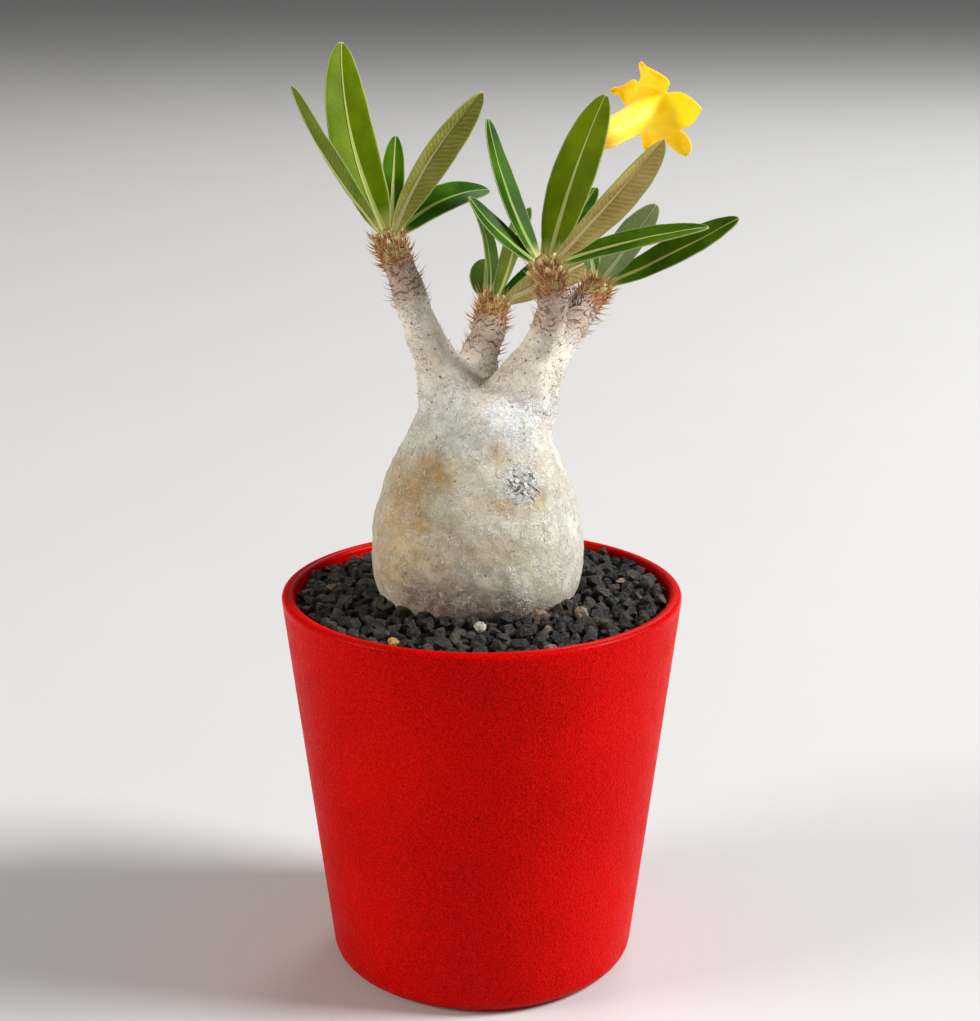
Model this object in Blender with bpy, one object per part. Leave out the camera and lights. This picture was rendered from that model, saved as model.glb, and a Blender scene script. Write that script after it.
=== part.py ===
"""Potted pachypodium: a bottle-shaped grey caudex with four spiny branches, strap leaves and one yellow
flower, top-dressed with dark gravel in a plain red tapered pot.

The file is in metres, +Z up. The origin is the centre of the pot's flat base, and the plant's front
faces -Y. Sizes below are in millimetres, and each mesh is scaled by MM as it is made.
"""

import math
import random
from typing import NamedTuple

import bmesh
import bpy
from mathutils import Matrix, Vector

MM = 0.001
GAP = 0.3
GOLDEN_ANGLE = math.radians(137.508)

# Pot
POT_HEIGHT = 108.4
RIM_RADIUS = 55.0
FOOT_RADIUS = 41.9
POT_WALL = 3.5
POT_FLOOR = 4.0
POT_STEPS = 48
FOOT_ROUNDING = 6.0
FOOT_ARC_STEPS = 4
LIP_ROUNDING = 1.4
LIP_ARC_STEPS = 2
DRAIN_HOLES = 6
DRAIN_RADIUS = 1.8
DRAIN_SIDES = 8
DRAIN_RING = 24.0

# Substrate and top dressing
SOIL_TOP = 97.0
# (distance from the pot's axis, height) of the gravel's bed, heaped up against the caudex
GRAVEL_BED = ((26.0, 107.0), (34.0, 105.8), (42.0, 104.6))
GRAVEL_EDGE = 103.9
STONE_RADIUS = (2.7, 3.5)
STONE_SPACING = 0.79
STONE_LIFT = (-0.5, 0.4)
# Least and greatest width, height and corner reach of a stone, as shares of its radius
STONE_WIDTH = (0.8, 0.95)
STONE_HEIGHT = (0.75, 0.95)
STONE_CORNER = (0.88, 1.04)
STONE_TILT = 0.4
STONE_TRIES = 9000
STONE_SEED = 11

# Caudex: (height, radius) down its outline, round a vertical axis that drifts sideways at the neck
CAUDEX_X = -1.2
CAUDEX_OUTLINE = (
    (165.5, 6.0),
    (163.5, 11.5),
    (160.5, 15.6),
    (156.5, 17.9),
    (152.0, 19.2),
    (147.6, 21.2),
    (142.0, 23.9),
    (136.0, 26.0),
    (129.5, 27.8),
    (123.0, 28.8),
    (116.5, 28.9),
    (110.5, 27.9),
    (106.5, 26.2),
    (102.5, 23.4),
    (97.5, 18.8),
    (91.0, 12.6),
    (83.0, 7.8),
    (75.0, 5.2),
    (70.0, 3.6),
)
CAUDEX_STEPS = 30
NECK_DRIFT = 1.9
NECK_START = 148.0
NECK_END = 162.0
SOCKET_CLEARANCE = 0.45

# Branches: (x, y, height, radius) from inside the neck to the growing tip
BRANCHES = {
    "a": (
        (-4.0, 0.0, 151.0, 14.0),
        (-7.0, 0.0, 160.0, 10.4),
        (-10.0, 0.0, 167.5, 7.6),
        (-13.0, -0.3, 174.0, 5.3),
        (-16.6, -2.0, 182.8, 4.7),
        (-19.4, -3.5, 192.5, 4.4),
        (-24.0, -4.0, 204.0, 3.9),
    ),
    "b": (
        (-1.5, 7.0, 152.0, 11.0),
        (-1.8, 11.5, 161.0, 8.0),
        (-0.8, 15.5, 169.0, 5.5),
        (1.6, 18.5, 175.5, 4.7),
        (3.0, 23.0, 182.5, 4.1),
    ),
    "c": (
        (4.0, -1.0, 151.0, 13.5),
        (9.0, -2.0, 161.5, 9.7),
        (12.3, -3.0, 169.0, 6.9),
        (15.2, -4.0, 175.2, 5.0),
        (18.2, -6.0, 184.2, 4.2),
        (18.6, -7.2, 190.0, 4.1),
        (16.7, -8.0, 197.5, 3.8),
    ),
    "d": (
        (6.5, 3.0, 151.0, 13.0),
        (12.0, 2.8, 161.5, 9.0),
        (15.6, 3.2, 168.0, 6.5),
        (19.9, 5.0, 174.0, 4.9),
        (25.0, 8.5, 181.5, 4.5),
        (31.0, 14.0, 188.5, 3.9),
    ),
}
BRANCH_POINTS = 10
DOME_POINTS = 3
DOME_ANGLE = math.radians(76.0)
BRANCH_ROUNDNESS = 3

# Spines: paired at each leaf scar, closest together just under the leaves
SCARS_PER_BRANCH = 20
SPINE_SPLAY = math.radians(22.0)
SPINE_RADIUS = 0.55
SPINE_ROOT = 1.3
SPINE_LENGTHS = (3.6, 1.7)
# How far down its branch the lowest scar is, and how the scars crowd towards the tip
LOWEST_SCAR = 0.55
SCAR_CROWDING = 1.5
SPINE_LEAN = (0.15, 0.45)
SPINE_LEANS = 3
SPINE_LEAF_CLEARANCE = 1.4

# Leaves
BLADE_THICKNESS = 0.65
LEAF_SECTIONS = 9
LEAF_FOOT_SECTIONS = 3
LEAF_BASE_WIDTH = 2.3
LEAF_TIP_WIDTH = 1.3
BLADE_FULLNESS = 0.6
FOOT_TAPER = 0.18
FOOT_START = 0.3
KEEL_DEPTH = (1.1, 0.5)
SEAT_OFFSET = 0.5


class Leaf(NamedTuple):
    """One strap leaf: where its tip is from its branch's tip, and how the blade is held."""

    crown: str
    name: str
    reach: tuple
    width: float
    roll: float
    arch: float = 0.0
    sweep: float = 0.0
    widest: float = 0.55
    fold: float = 11.0
    seat: float = 0.0
    seat_rise: float = 45.0


LEAVES = (
    Leaf("a", "narrow", (-24.5, -1.0, 40.0), 9.0, 30, arch=-2.1, fold=22, seat=207),
    Leaf("a", "tall", (-12.5, 15.0, 50.0), 12.5, -22, arch=1.0, sweep=3.5, widest=0.5, seat=119),
    Leaf("a", "small", (1.1, 20.0, 25.5), 6.3, 0, arch=1.0, seat=75),
    Leaf("a", "khaki", (24.5, -14.0, 39.5), 9.8, -36, sweep=-2.9, widest=0.6, seat=-60),
    Leaf("a", "low", (26.0, 16.0, 11.5), 9.8, 33, arch=4.5, widest=0.5, seat=30, seat_rise=42),
    Leaf("a", "rear", (-16.0, 29.0, 20.0), 8.0, 0, arch=3.0, seat=110, seat_rise=5),
    Leaf("b", "left", (-5.9, 11.0, 26.5), 8.5, 45, arch=2.4, seat=215, seat_rise=65),
    Leaf("b", "broad", (-2.0, 11.0, 11.2), 8.0, -10, arch=1.0, seat=145, seat_rise=30),
    Leaf("b", "olive", (6.1, -11.0, 26.2), 8.5, 20, arch=-1.5, seat=-75),
    Leaf("b", "rear", (10.5, 27.0, 23.5), 8.0, -25, seat=75),
    Leaf("b", "teal", (25.5, 17.0, 16.0), 9.0, 12, seat=35, seat_rise=30),
    Leaf("b", "long", (38.0, 5.0, 17.5), 10.5, -75, seat=-20, seat_rise=15),
    Leaf("c", "left", (-15.0, 8.0, 38.0), 8.2, -11, arch=-1.0, sweep=1.5, widest=0.5, seat=150),
    Leaf("c", "tall", (15.8, 16.0, 43.3), 12.2, 26, sweep=1.2, widest=0.54, seat=65),
    Leaf("c", "khaki", (28.5, -16.0, 35.0), 9.6, -45, sweep=0.5, widest=0.6, seat=-40),
    Leaf("c", "right", (41.5, -4.0, 11.5), 8.0, 31, arch=1.5, widest=0.5, seat=-5, seat_rise=30),
    Leaf("c", "low", (-20.0, -3.5, 19.0), 6.8, -38, arch=-1.5, seat=220, seat_rise=35),
    Leaf("c", "rear", (14.3, 30.0, 17.5), 8.0, 0, arch=1.0, seat=65, seat_rise=0),
    Leaf("d", "khaki", (14.5, -14.0, 25.0), 9.6, -33, seat=-60),
    Leaf("d", "long", (37.3, -6.0, 20.2), 10.0, 42, sweep=-0.8, seat=-5, seat_rise=30),
    Leaf("d", "young", (-3.8, 12.0, 23.5), 6.0, 0, seat=100),
)

# Flower: a stalk from the middle branch, a calyx of five sepals, and a funnel with five lobes
FLOWER_BASE = Vector((28.5, 11.3, 232.1))
FLOWER_AXIS = Vector((0.65, 0.75, 0.09)).normalized()
STALK_RADIUS = 0.95
STALK_SIDES_RESOLUTION = 2
STALK_SEAT = math.radians(100.0)
STALK_SEAT_RISE = 0.3
STALK_SEAT_OFFSET = 0.57
STALK_POINTS = 10
STALK_RISE = Vector((0.0, 1.0, 0.8)).normalized() * 20.0
STALK_APPROACH = (FLOWER_AXIS + Vector((0.0, 0.0, 0.4))).normalized() * 4.0
PETAL_THICKNESS = 0.7
# (distance along the axis, radius) of the corolla's tube
COROLLA_TUBE = ((0.0, 1.4), (3.6, 1.5), (5.6, 3.3), (8.5, 3.85), (20.0, 3.9), (25.0, 4.2), (27.1, 5.2))
# How far along the axis the lobes spread
LIMB = 28.5
LIMB_RING = 6.8
LIMB_RING_STEP = -0.4
LOBE_COLUMNS = 4
LOBE_BULGE = 0.25
# (step along the limb, share of the way from a lobe's shoulders to its tip)
LOBE_ROWS = ((0.5, 0.0), (-0.4, 0.55), (-1.0, 0.94))


class Lobe(NamedTuple):
    """One lobe of the corolla, as (across, up) points of the plane that the lobes spread in."""

    notch: tuple
    near: tuple
    far: tuple
    tip: tuple


LOBES = (
    Lobe(notch=(8.3, -5.0), near=(12.0, -3.0), far=(11.0, 5.2), tip=(15.4, 1.0)),
    Lobe(notch=(4.4, 4.9), near=(4.4, 8.0), far=(-3.8, 9.6), tip=(-3.0, 12.6)),
    Lobe(notch=(-3.8, 7.4), near=(-10.4, 7.0), far=(-10.6, 2.0), tip=(-14.4, 4.6)),
    Lobe(notch=(-6.0, -1.6), near=(-5.6, -6.8), far=(0.6, -10.6), tip=(-2.8, -12.6)),
    Lobe(notch=(2.0, -8.0), near=(4.6, -10.2), far=(11.2, -7.4), tip=(10.6, -11.4)),
)
SEPAL_COUNT = 5
# (distance along the axis, radius) of the calyx cup, and how far the sepals reach past it
CALYX_CUP = ((-2.0, 1.1), (-0.9, 2.3), (0.6, 2.5))
SEPAL_REACH = 3.2
SEPAL_RADIUS = 2.9
SEPAL_THICKNESS = 0.6

COLOURS = {
    "red_plastic": ((0.58, 0.006, 0.004), 0.38),
    "soil": ((0.045, 0.03, 0.02), 0.95),
    "gravel": ((0.035, 0.038, 0.04), 0.7),
    "bark": ((0.46, 0.43, 0.38), 0.8),
    "leaf": ((0.07, 0.19, 0.015), 0.4),
    "stalk": ((0.2, 0.3, 0.06), 0.5),
    "sepal": ((0.25, 0.35, 0.06), 0.55),
    "petal": ((0.95, 0.62, 0.01), 0.45),
}


def clear_scene():
    for obj in list(bpy.data.objects):
        bpy.data.objects.remove(obj, do_unlink=True)


def material(name):
    colour, roughness = COLOURS[name]
    made = bpy.data.materials.get(name) or bpy.data.materials.new(name)
    made.use_nodes = True
    shader = made.node_tree.nodes["Principled BSDF"]
    shader.inputs["Base Color"].default_value = (*colour, 1.0)
    shader.inputs["Roughness"].default_value = roughness
    shader.inputs["Metallic"].default_value = 0.0
    return made


def new_object(name, points, faces, finish):
    """An object from points in millimetres, with its faces turned outwards."""
    mesh = bpy.data.meshes.new(name)
    mesh.from_pydata([Vector(point) * MM for point in points], [], faces)
    work = bmesh.new()
    work.from_mesh(mesh)
    bmesh.ops.recalc_face_normals(work, faces=work.faces)
    work.to_mesh(mesh)
    work.free()
    obj = bpy.data.objects.new(name, mesh)
    bpy.context.scene.collection.objects.link(obj)
    mesh.materials.append(material(finish))
    return obj


def apply_modifiers(obj):
    """Replaces the object's mesh by its evaluated one."""
    graph = bpy.context.evaluated_depsgraph_get()
    mesh = bpy.data.meshes.new_from_object(obj.evaluated_get(graph))
    obj.modifiers.clear()
    obj.data = mesh


def cut(obj, cutter):
    modifier = obj.modifiers.new("cut", "BOOLEAN")
    modifier.operation = "DIFFERENCE"
    modifier.object = cutter
    bpy.context.view_layer.update()
    apply_modifiers(obj)
    bpy.data.objects.remove(cutter, do_unlink=True)


def fuse(obj, others):
    """Joins the other objects to this one by one Boolean union on a collection."""
    group = bpy.data.collections.new(obj.name + "_repeats")
    bpy.context.scene.collection.children.link(group)
    for other in others:
        for holder in other.users_collection:
            holder.objects.unlink(other)
        group.objects.link(other)
    modifier = obj.modifiers.new("fuse", "BOOLEAN")
    modifier.operation = "UNION"
    modifier.operand_type = "COLLECTION"
    modifier.collection = group
    modifier.solver = "EXACT"
    bpy.context.view_layer.update()
    apply_modifiers(obj)
    for other in others:
        bpy.data.objects.remove(other, do_unlink=True)
    bpy.data.collections.remove(group)


def shade_smooth(obj, angle=40.0):
    obj.data.shade_smooth()
    obj.data.set_sharp_from_angle(angle=math.radians(angle))


def mix(low, high, share):
    return low + (high - low) * share


def ease(share):
    """0 to 1 with level ends."""
    share = min(max(share, 0.0), 1.0)
    return share * share * (3 - 2 * share)


def rounded_corner(before, corner, after, radius, steps):
    """Points of an arc that rounds the corner of a (radius, height) outline."""
    corner = Vector(corner)
    incoming = (Vector(before) - corner).normalized()
    outgoing = (Vector(after) - corner).normalized()
    half_angle = incoming.angle(outgoing) / 2
    setback = radius / math.tan(half_angle)
    centre = corner + (incoming + outgoing).normalized() * radius / math.sin(half_angle)
    first = corner + incoming * setback - centre
    last = corner + outgoing * setback - centre
    return [tuple(centre + first.slerp(last, step / steps) * radius) for step in range(steps + 1)]


def turned(name, outline, steps, finish):
    """A solid turned round the Z axis from a (radius, height) outline that starts and ends on the axis."""
    points = []
    rings = []
    for radius, height in outline:
        count = steps if radius > 0 else 1
        rings.append(range(len(points), len(points) + count))
        for step in range(count):
            turn = math.tau * step / steps
            points.append((radius * math.cos(turn), radius * math.sin(turn), height))
    faces = []
    for lower, upper in zip(rings, rings[1:]):
        for step in range(steps):
            after = (step + 1) % steps
            if len(lower) == 1 and len(upper) == 1:
                continue
            if len(lower) == 1:
                faces.append((lower[0], upper[after], upper[step]))
            elif len(upper) == 1:
                faces.append((lower[step], lower[after], upper[0]))
            else:
                faces.append((lower[step], lower[after], upper[after], upper[step]))
    return new_object(name, points, faces, finish)


def outer_radius(height):
    return mix(FOOT_RADIUS, RIM_RADIUS, height / POT_HEIGHT)


def inner_radius(height):
    return outer_radius(height) - POT_WALL


def build_pot():
    foot = (FOOT_RADIUS, 0.0)
    rim_outside = (RIM_RADIUS, POT_HEIGHT)
    rim_inside = (inner_radius(POT_HEIGHT), POT_HEIGHT)
    floor_edge = (inner_radius(POT_FLOOR), POT_FLOOR)
    outline = [(0.0, 0.0)]
    outline += rounded_corner((0.0, 0.0), foot, rim_outside, FOOT_ROUNDING, FOOT_ARC_STEPS)
    outline += rounded_corner(foot, rim_outside, rim_inside, LIP_ROUNDING, LIP_ARC_STEPS)
    outline += rounded_corner(rim_outside, rim_inside, floor_edge, LIP_ROUNDING, LIP_ARC_STEPS)
    outline += rounded_corner(rim_inside, floor_edge, (0.0, POT_FLOOR), LIP_ROUNDING, 1)
    outline.append((0.0, POT_FLOOR))
    pot = turned("pot", outline, POT_STEPS, "red_plastic")
    for hole in range(DRAIN_HOLES):
        turn = math.tau * (hole + 0.5) / DRAIN_HOLES
        bpy.ops.mesh.primitive_cylinder_add(
            vertices=DRAIN_SIDES,
            radius=DRAIN_RADIUS * MM,
            depth=4 * POT_FLOOR * MM,
            location=(DRAIN_RING * math.cos(turn) * MM, DRAIN_RING * math.sin(turn) * MM, 0.0),
        )
        cut(pot, bpy.context.object)
    shade_smooth(pot)
    return pot


def caudex_radius(height):
    """The caudex's radius, read off its outline."""
    if height >= CAUDEX_OUTLINE[0][0]:
        return 0.0
    for (top, top_radius), (low, low_radius) in zip(CAUDEX_OUTLINE, CAUDEX_OUTLINE[1:]):
        if height >= low:
            return mix(low_radius, top_radius, (height - low) / (top - low))
    return 0.0


def socket(name, top, bottom):
    """The plain hole that the caudex stands in, as a cutter from top down to bottom."""
    levels = [height for height, _ in CAUDEX_OUTLINE if bottom < height < top]
    outline = [(0.0, top)]
    for height in [top, *levels]:
        outline.append((caudex_radius(height) + SOCKET_CLEARANCE, height))
    last = caudex_radius(max(bottom, CAUDEX_OUTLINE[-1][0]))
    outline += [(last + SOCKET_CLEARANCE, bottom), (0.0, bottom)]
    cutter = turned(name, outline, CAUDEX_STEPS, "soil")
    cutter.location.x = CAUDEX_X * MM
    cutter.hide_render = True
    cutter.display_type = "WIRE"
    return cutter


def build_soil():
    bottom = POT_FLOOR + GAP
    corner = bottom + LIP_ROUNDING
    outline = [
        (0.0, bottom),
        (inner_radius(bottom) - GAP - LIP_ROUNDING, bottom),
        (inner_radius(corner) - GAP, corner),
        (inner_radius(SOIL_TOP) - GAP, SOIL_TOP),
        (0.0, SOIL_TOP),
    ]
    soil = turned("soil", outline, POT_STEPS, "soil")
    root_end = CAUDEX_OUTLINE[-1][0]
    cut(soil, socket("soil_socket", SOIL_TOP + 1.0, root_end - GAP))
    return soil


def bed_height(distance):
    """The height of the gravel's bed at a distance from the pot's axis."""
    slope = (*GRAVEL_BED, (inner_radius(GRAVEL_EDGE), GRAVEL_EDGE))
    for (near, high), (far, low) in zip(slope, slope[1:]):
        if distance <= far:
            return mix(high, low, max(distance - near, 0.0) / (far - near))
    return GRAVEL_EDGE


def stone_points(rng, chip, x, y, radius):
    """Corners of a worn chip: a coarse ball, flattened, knocked out of true and turned."""
    size = Vector((radius, radius * rng.uniform(*STONE_WIDTH), radius * rng.uniform(*STONE_HEIGHT)))
    tilt = Matrix.Rotation(rng.uniform(-STONE_TILT, STONE_TILT), 3, "X")
    turn = Matrix.Rotation(rng.uniform(0.0, math.tau), 3, "Z") @ tilt
    middle = Vector((x, y, bed_height(math.hypot(x, y)) + rng.uniform(*STONE_LIFT)))
    return [middle + turn @ (corner * size * rng.uniform(*STONE_CORNER)) for corner in chip]


def stone_fits(points):
    """Whether a stone is clear of the pot's wall and of the caudex."""
    for point in points:
        if math.hypot(point.x, point.y) > inner_radius(point.z) - GAP:
            return False
        if math.hypot(point.x - CAUDEX_X, point.y) < caudex_radius(point.z) + SOCKET_CLEARANCE:
            return False
    return True


def build_stones():
    """Chips at random places on the bed, each kept apart from those before it."""
    rng = random.Random(STONE_SEED)
    ball = bmesh.new()
    bmesh.ops.create_icosphere(ball, subdivisions=1, radius=1.0)
    chip = [corner.co.copy() for corner in ball.verts]
    faces = [tuple(corner.index for corner in face.verts) for face in ball.faces]
    ball.free()
    places = []
    stones = []
    for _ in range(STONE_TRIES):
        radius = rng.uniform(*STONE_RADIUS)
        distance = inner_radius(GRAVEL_EDGE) * math.sqrt(rng.random())
        turn = rng.uniform(0.0, math.tau)
        x, y = distance * math.cos(turn), distance * math.sin(turn)
        if any(math.hypot(x - px, y - py) < STONE_SPACING * (radius + pr) for px, py, pr in places):
            continue
        points = stone_points(rng, chip, x, y, radius)
        if stone_fits(points):
            places.append((x, y, radius))
            stones.append(new_object(f"stone_{len(stones)}", points, faces, "gravel"))
    return stones


def build_gravel():
    bottom = SOIL_TOP + GAP
    outline = [(0.0, bottom), (inner_radius(bottom) - GAP, bottom)]
    outline += [(inner_radius(GRAVEL_EDGE) - GAP, GRAVEL_EDGE), *reversed(GRAVEL_BED), (0.0, GRAVEL_BED[0][1])]
    gravel = turned("gravel", outline, POT_STEPS, "gravel")
    cut(gravel, socket("gravel_socket", GRAVEL_BED[0][1] + 1.0, SOIL_TOP - 1.0))
    fuse(gravel, build_stones())
    return gravel


def smooth_path(points, count):
    """Points at even steps along a smooth curve through the given ones, for vectors of any length."""
    path = []
    spans = len(points) - 1
    for step in range(count):
        place = spans * step / (count - 1)
        span = min(int(place), spans - 1)
        share = place - span
        before = points[max(span - 1, 0)]
        start, end = points[span], points[span + 1]
        after = points[min(span + 2, spans)]
        value = []
        for p0, p1, p2, p3 in zip(before, start, end, after):
            slope_in = (p2 - p0) / 2
            slope_out = (p3 - p1) / 2
            square, cube = share * share, share**3
            value.append(
                (2 * cube - 3 * square + 1) * p1
                + (cube - 2 * square + share) * slope_in
                + (3 * square - 2 * cube) * p2
                + (cube - square) * slope_out
            )
        path.append(tuple(value))
    return path


def branch_path(key):
    """(x, y, z, radius) along a branch, ending in a rounded growing tip."""
    path = smooth_path(BRANCHES[key], BRANCH_POINTS)
    centre = Vector(path[-1][:3])
    along = branch_direction(key)
    radius = path[-1][3]
    for step in range(1, DOME_POINTS + 1):
        turn = DOME_ANGLE * step / DOME_POINTS
        tip = centre + along * radius * math.sin(turn)
        path.append((*tip, radius * math.cos(turn)))
    return path


def branch_direction(key):
    before, last = BRANCHES[key][-2:]
    return (Vector(last[:3]) - Vector(before[:3])).normalized()


def tube(name, path, finish, roundness):
    """A solid round bar along (x, y, z, radius) points."""
    curve = bpy.data.curves.new(name, "CURVE")
    curve.dimensions = "3D"
    curve.bevel_depth = MM
    curve.bevel_resolution = roundness
    curve.use_fill_caps = True
    spline = curve.splines.new("POLY")
    spline.points.add(len(path) - 1)
    for point, (x, y, z, radius) in zip(spline.points, path):
        point.co = (x * MM, y * MM, z * MM, 1.0)
        point.radius = radius
    bar = bpy.data.objects.new(name, curve)
    bpy.context.scene.collection.objects.link(bar)
    graph = bpy.context.evaluated_depsgraph_get()
    mesh = bpy.data.meshes.new_from_object(bar.evaluated_get(graph))
    bpy.data.objects.remove(bar, do_unlink=True)
    obj = bpy.data.objects.new(name, mesh)
    bpy.context.scene.collection.objects.link(obj)
    work = bmesh.new()
    work.from_mesh(mesh)
    bmesh.ops.remove_doubles(work, verts=work.verts, dist=0.01 * MM)
    bmesh.ops.recalc_face_normals(work, faces=work.faces)
    work.to_mesh(mesh)
    work.free()
    mesh.materials.clear()
    mesh.materials.append(material(finish))
    return obj


def build_caudex():
    """The swollen body alone: turned, with its neck drifting to the right."""
    outline = [(0.0, CAUDEX_OUTLINE[0][0])]
    outline += [(radius, height) for height, radius in CAUDEX_OUTLINE]
    outline.append((0.0, CAUDEX_OUTLINE[-1][0]))
    caudex = turned("trunk", outline, CAUDEX_STEPS, "bark")
    for vertex in caudex.data.vertices:
        share = (vertex.co.z / MM - NECK_START) / (NECK_END - NECK_START)
        vertex.co.x += (CAUDEX_X + NECK_DRIFT * ease(share)) * MM
    return caudex


def leaf_points(leaf):
    """The leaf's midrib from seat to tip, with its side and upward directions."""
    crown = BRANCHES[leaf.crown][-1]
    centre = Vector(crown[:3])
    seat, rise = math.radians(leaf.seat), math.radians(leaf.seat_rise)
    away = Vector((math.cos(seat) * math.cos(rise), math.sin(seat) * math.cos(rise), math.sin(rise)))
    base = centre + away * (crown[3] + GAP + SEAT_OFFSET)
    tip = centre + Vector(leaf.reach)
    along = (tip - base).normalized()
    level = Vector((-along.y, along.x, 0.0)).normalized()
    side = Matrix.Rotation(math.radians(leaf.roll), 3, along) @ level
    upward = along.cross(side)
    midrib = []
    for section in range(LEAF_SECTIONS):
        share = section / (LEAF_SECTIONS - 1)
        bow = 4 * share * (1 - share)
        midrib.append(base.lerp(tip, share) + upward * leaf.arch * bow + side * leaf.sweep * bow)
    return midrib, side, upward


def blade_width(leaf, share):
    """The blade's full width at a share of its length: narrow at the seat, rounded at the tip."""
    stretch = math.log(0.5) / math.log(leaf.widest)
    oval = leaf.width * math.sin(math.pi * min(share, 1.0) ** stretch) ** BLADE_FULLNESS
    return max(oval * ease(share / FOOT_TAPER + FOOT_START), mix(LEAF_BASE_WIDTH, LEAF_TIP_WIDTH, share))


def build_leaf(leaf):
    """A folded blade, thick at its keel, lofted through six-sided sections."""
    midrib, side, upward = leaf_points(leaf)
    half_blade = BLADE_THICKNESS / 2
    points = []
    for section, middle in enumerate(midrib):
        share = section / (LEAF_SECTIONS - 1)
        half = blade_width(leaf, share) / 2
        lift = half * math.tan(math.radians(leaf.fold))
        keel = mix(*KEEL_DEPTH, share)
        along = (midrib[min(section + 1, len(midrib) - 1)] - midrib[max(section - 1, 0)]).normalized()
        local_side = (side - along * side.dot(along)).normalized()
        local_up = along.cross(local_side)
        for across, up in (
            (0.0, half_blade),
            (half, lift + half_blade),
            (half, lift - half_blade),
            (0.0, -keel),
            (-half, lift - half_blade),
            (-half, lift + half_blade),
        ):
            points.append(middle + local_side * across + local_up * up)
    faces = []
    for section in range(LEAF_SECTIONS - 1):
        here, ahead = 6 * section, 6 * section + 6
        for low, high in ((0, 1), (1, 2), (3, 2), (3, 4), (4, 5), (0, 5)):
            faces.append((here + low, here + high, ahead + high))
            faces.append((here + low, ahead + high, ahead + low))
    last = 6 * (LEAF_SECTIONS - 1)
    for start in (0, last):
        faces += [(start, start + 1, start + 2), (start, start + 2, start + 3)]
        faces += [(start, start + 3, start + 4), (start, start + 4, start + 5)]
    return new_object(f"leaf_{leaf.crown}_{leaf.name}", points, faces, "leaf")


def near_leaf(point, key):
    """Whether a point lies close to one of the crown's leaves."""
    for leaf in LEAVES:
        if leaf.crown != key:
            continue
        midrib = leaf_points(leaf)[0]
        for start, end in zip(midrib[:LEAF_FOOT_SECTIONS], midrib[1:]):
            span = end - start
            share = min(max((point - start).dot(span) / span.length_squared, 0.0), 1.0)
            if (point - start - span * share).length < SPINE_LEAF_CLEARANCE + LEAF_BASE_WIDTH / 2:
                return True
    return False


def build_spine(name, root, direction, length):
    """A slim three-sided thorn whose foot is sunk in the bark."""
    bpy.ops.mesh.primitive_cone_add(
        vertices=3,
        radius1=SPINE_RADIUS * MM,
        radius2=0.0,
        depth=(length + SPINE_ROOT) * MM,
    )
    obj = bpy.context.object
    obj.name = name
    middle = root + direction * (length - SPINE_ROOT) / 2
    obj.data.transform(Matrix.Translation(middle * MM) @ direction.to_track_quat("Z", "Y").to_matrix().to_4x4())
    return obj


def branch_spines(key):
    """Pairs of thorns on a spiral, from just under the leaves to halfway down the branch."""
    path = smooth_path(BRANCHES[key], 4 * BRANCH_POINTS)
    spines = []
    for scar in range(SCARS_PER_BRANCH):
        share = (scar + 0.5) / SCARS_PER_BRANCH
        place = path[round(mix(len(path) - 1, LOWEST_SCAR * len(path), share**SCAR_CROWDING))]
        ahead = path[min(path.index(place) + 1, len(path) - 1)]
        behind = path[path.index(ahead) - 1]
        along = (Vector(ahead[:3]) - Vector(behind[:3])).normalized()
        across = along.cross(Vector((0.0, 1.0, 0.0))).normalized()
        length = mix(*SPINE_LENGTHS, share)
        for twin, splay in enumerate((-SPINE_SPLAY, SPINE_SPLAY)):
            turned_by = scar * GOLDEN_ANGLE + splay
            outward = Matrix.Rotation(turned_by, 3, along) @ across
            root = Vector(place[:3]) + outward * place[3]
            lean = mix(*SPINE_LEAN, scar % SPINE_LEANS / (SPINE_LEANS - 1))
            direction = (outward + along * lean).normalized()
            if near_leaf(root + direction * length, key) or near_leaf(root, key):
                continue
            spines.append(build_spine(f"spine_{key}_{scar}_{twin}", root, direction, length))
    return spines


def build_trunk():
    """Caudex, branches and thorns, grown as one piece."""
    trunk = build_caudex()
    parts = []
    for key in BRANCHES:
        parts.append(tube(f"branch_{key}", branch_path(key), "bark", BRANCH_ROUNDNESS))
    fuse(trunk, parts)
    spines = []
    for key in BRANCHES:
        spines += branch_spines(key)
    fuse(trunk, spines)
    shade_smooth(trunk)
    return trunk


def flower_frame():
    """The flower's axis and the two directions across it."""
    side = FLOWER_AXIS.cross(Vector((0.0, 0.0, 1.0))).normalized()
    return FLOWER_AXIS, side, side.cross(FLOWER_AXIS)


def flower_point(along, radius, turn):
    axis, side, up = flower_frame()
    return FLOWER_BASE + axis * along + (side * math.cos(turn) + up * math.sin(turn)) * radius


def solid_sheet(name, points, faces, thickness, finish):
    """A sheet round the flower's axis, given its thickness towards its inner side. Its second face is on its
    first ring."""
    obj = new_object(name, points, faces, finish)
    ring_face = obj.data.polygons[1]
    if ring_face.normal.dot(ring_face.center - FLOWER_BASE * MM) < 0:
        obj.data.flip_normals()
    modifier = obj.modifiers.new("thickness", "SOLIDIFY")
    modifier.thickness = thickness * MM
    modifier.offset = -1.0
    modifier.use_even_offset = False
    bpy.context.view_layer.update()
    apply_modifiers(obj)
    work = bmesh.new()
    work.from_mesh(obj.data)
    bmesh.ops.triangulate(work, faces=work.faces)
    bmesh.ops.recalc_face_normals(work, faces=work.faces)
    work.to_mesh(obj.data)
    work.free()
    return obj


def limb_point(across, up, along):
    """A point of the lobes, from its place in the plane they spread in."""
    return flower_point(LIMB + along, math.hypot(across, up), math.atan2(up, across))


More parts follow.
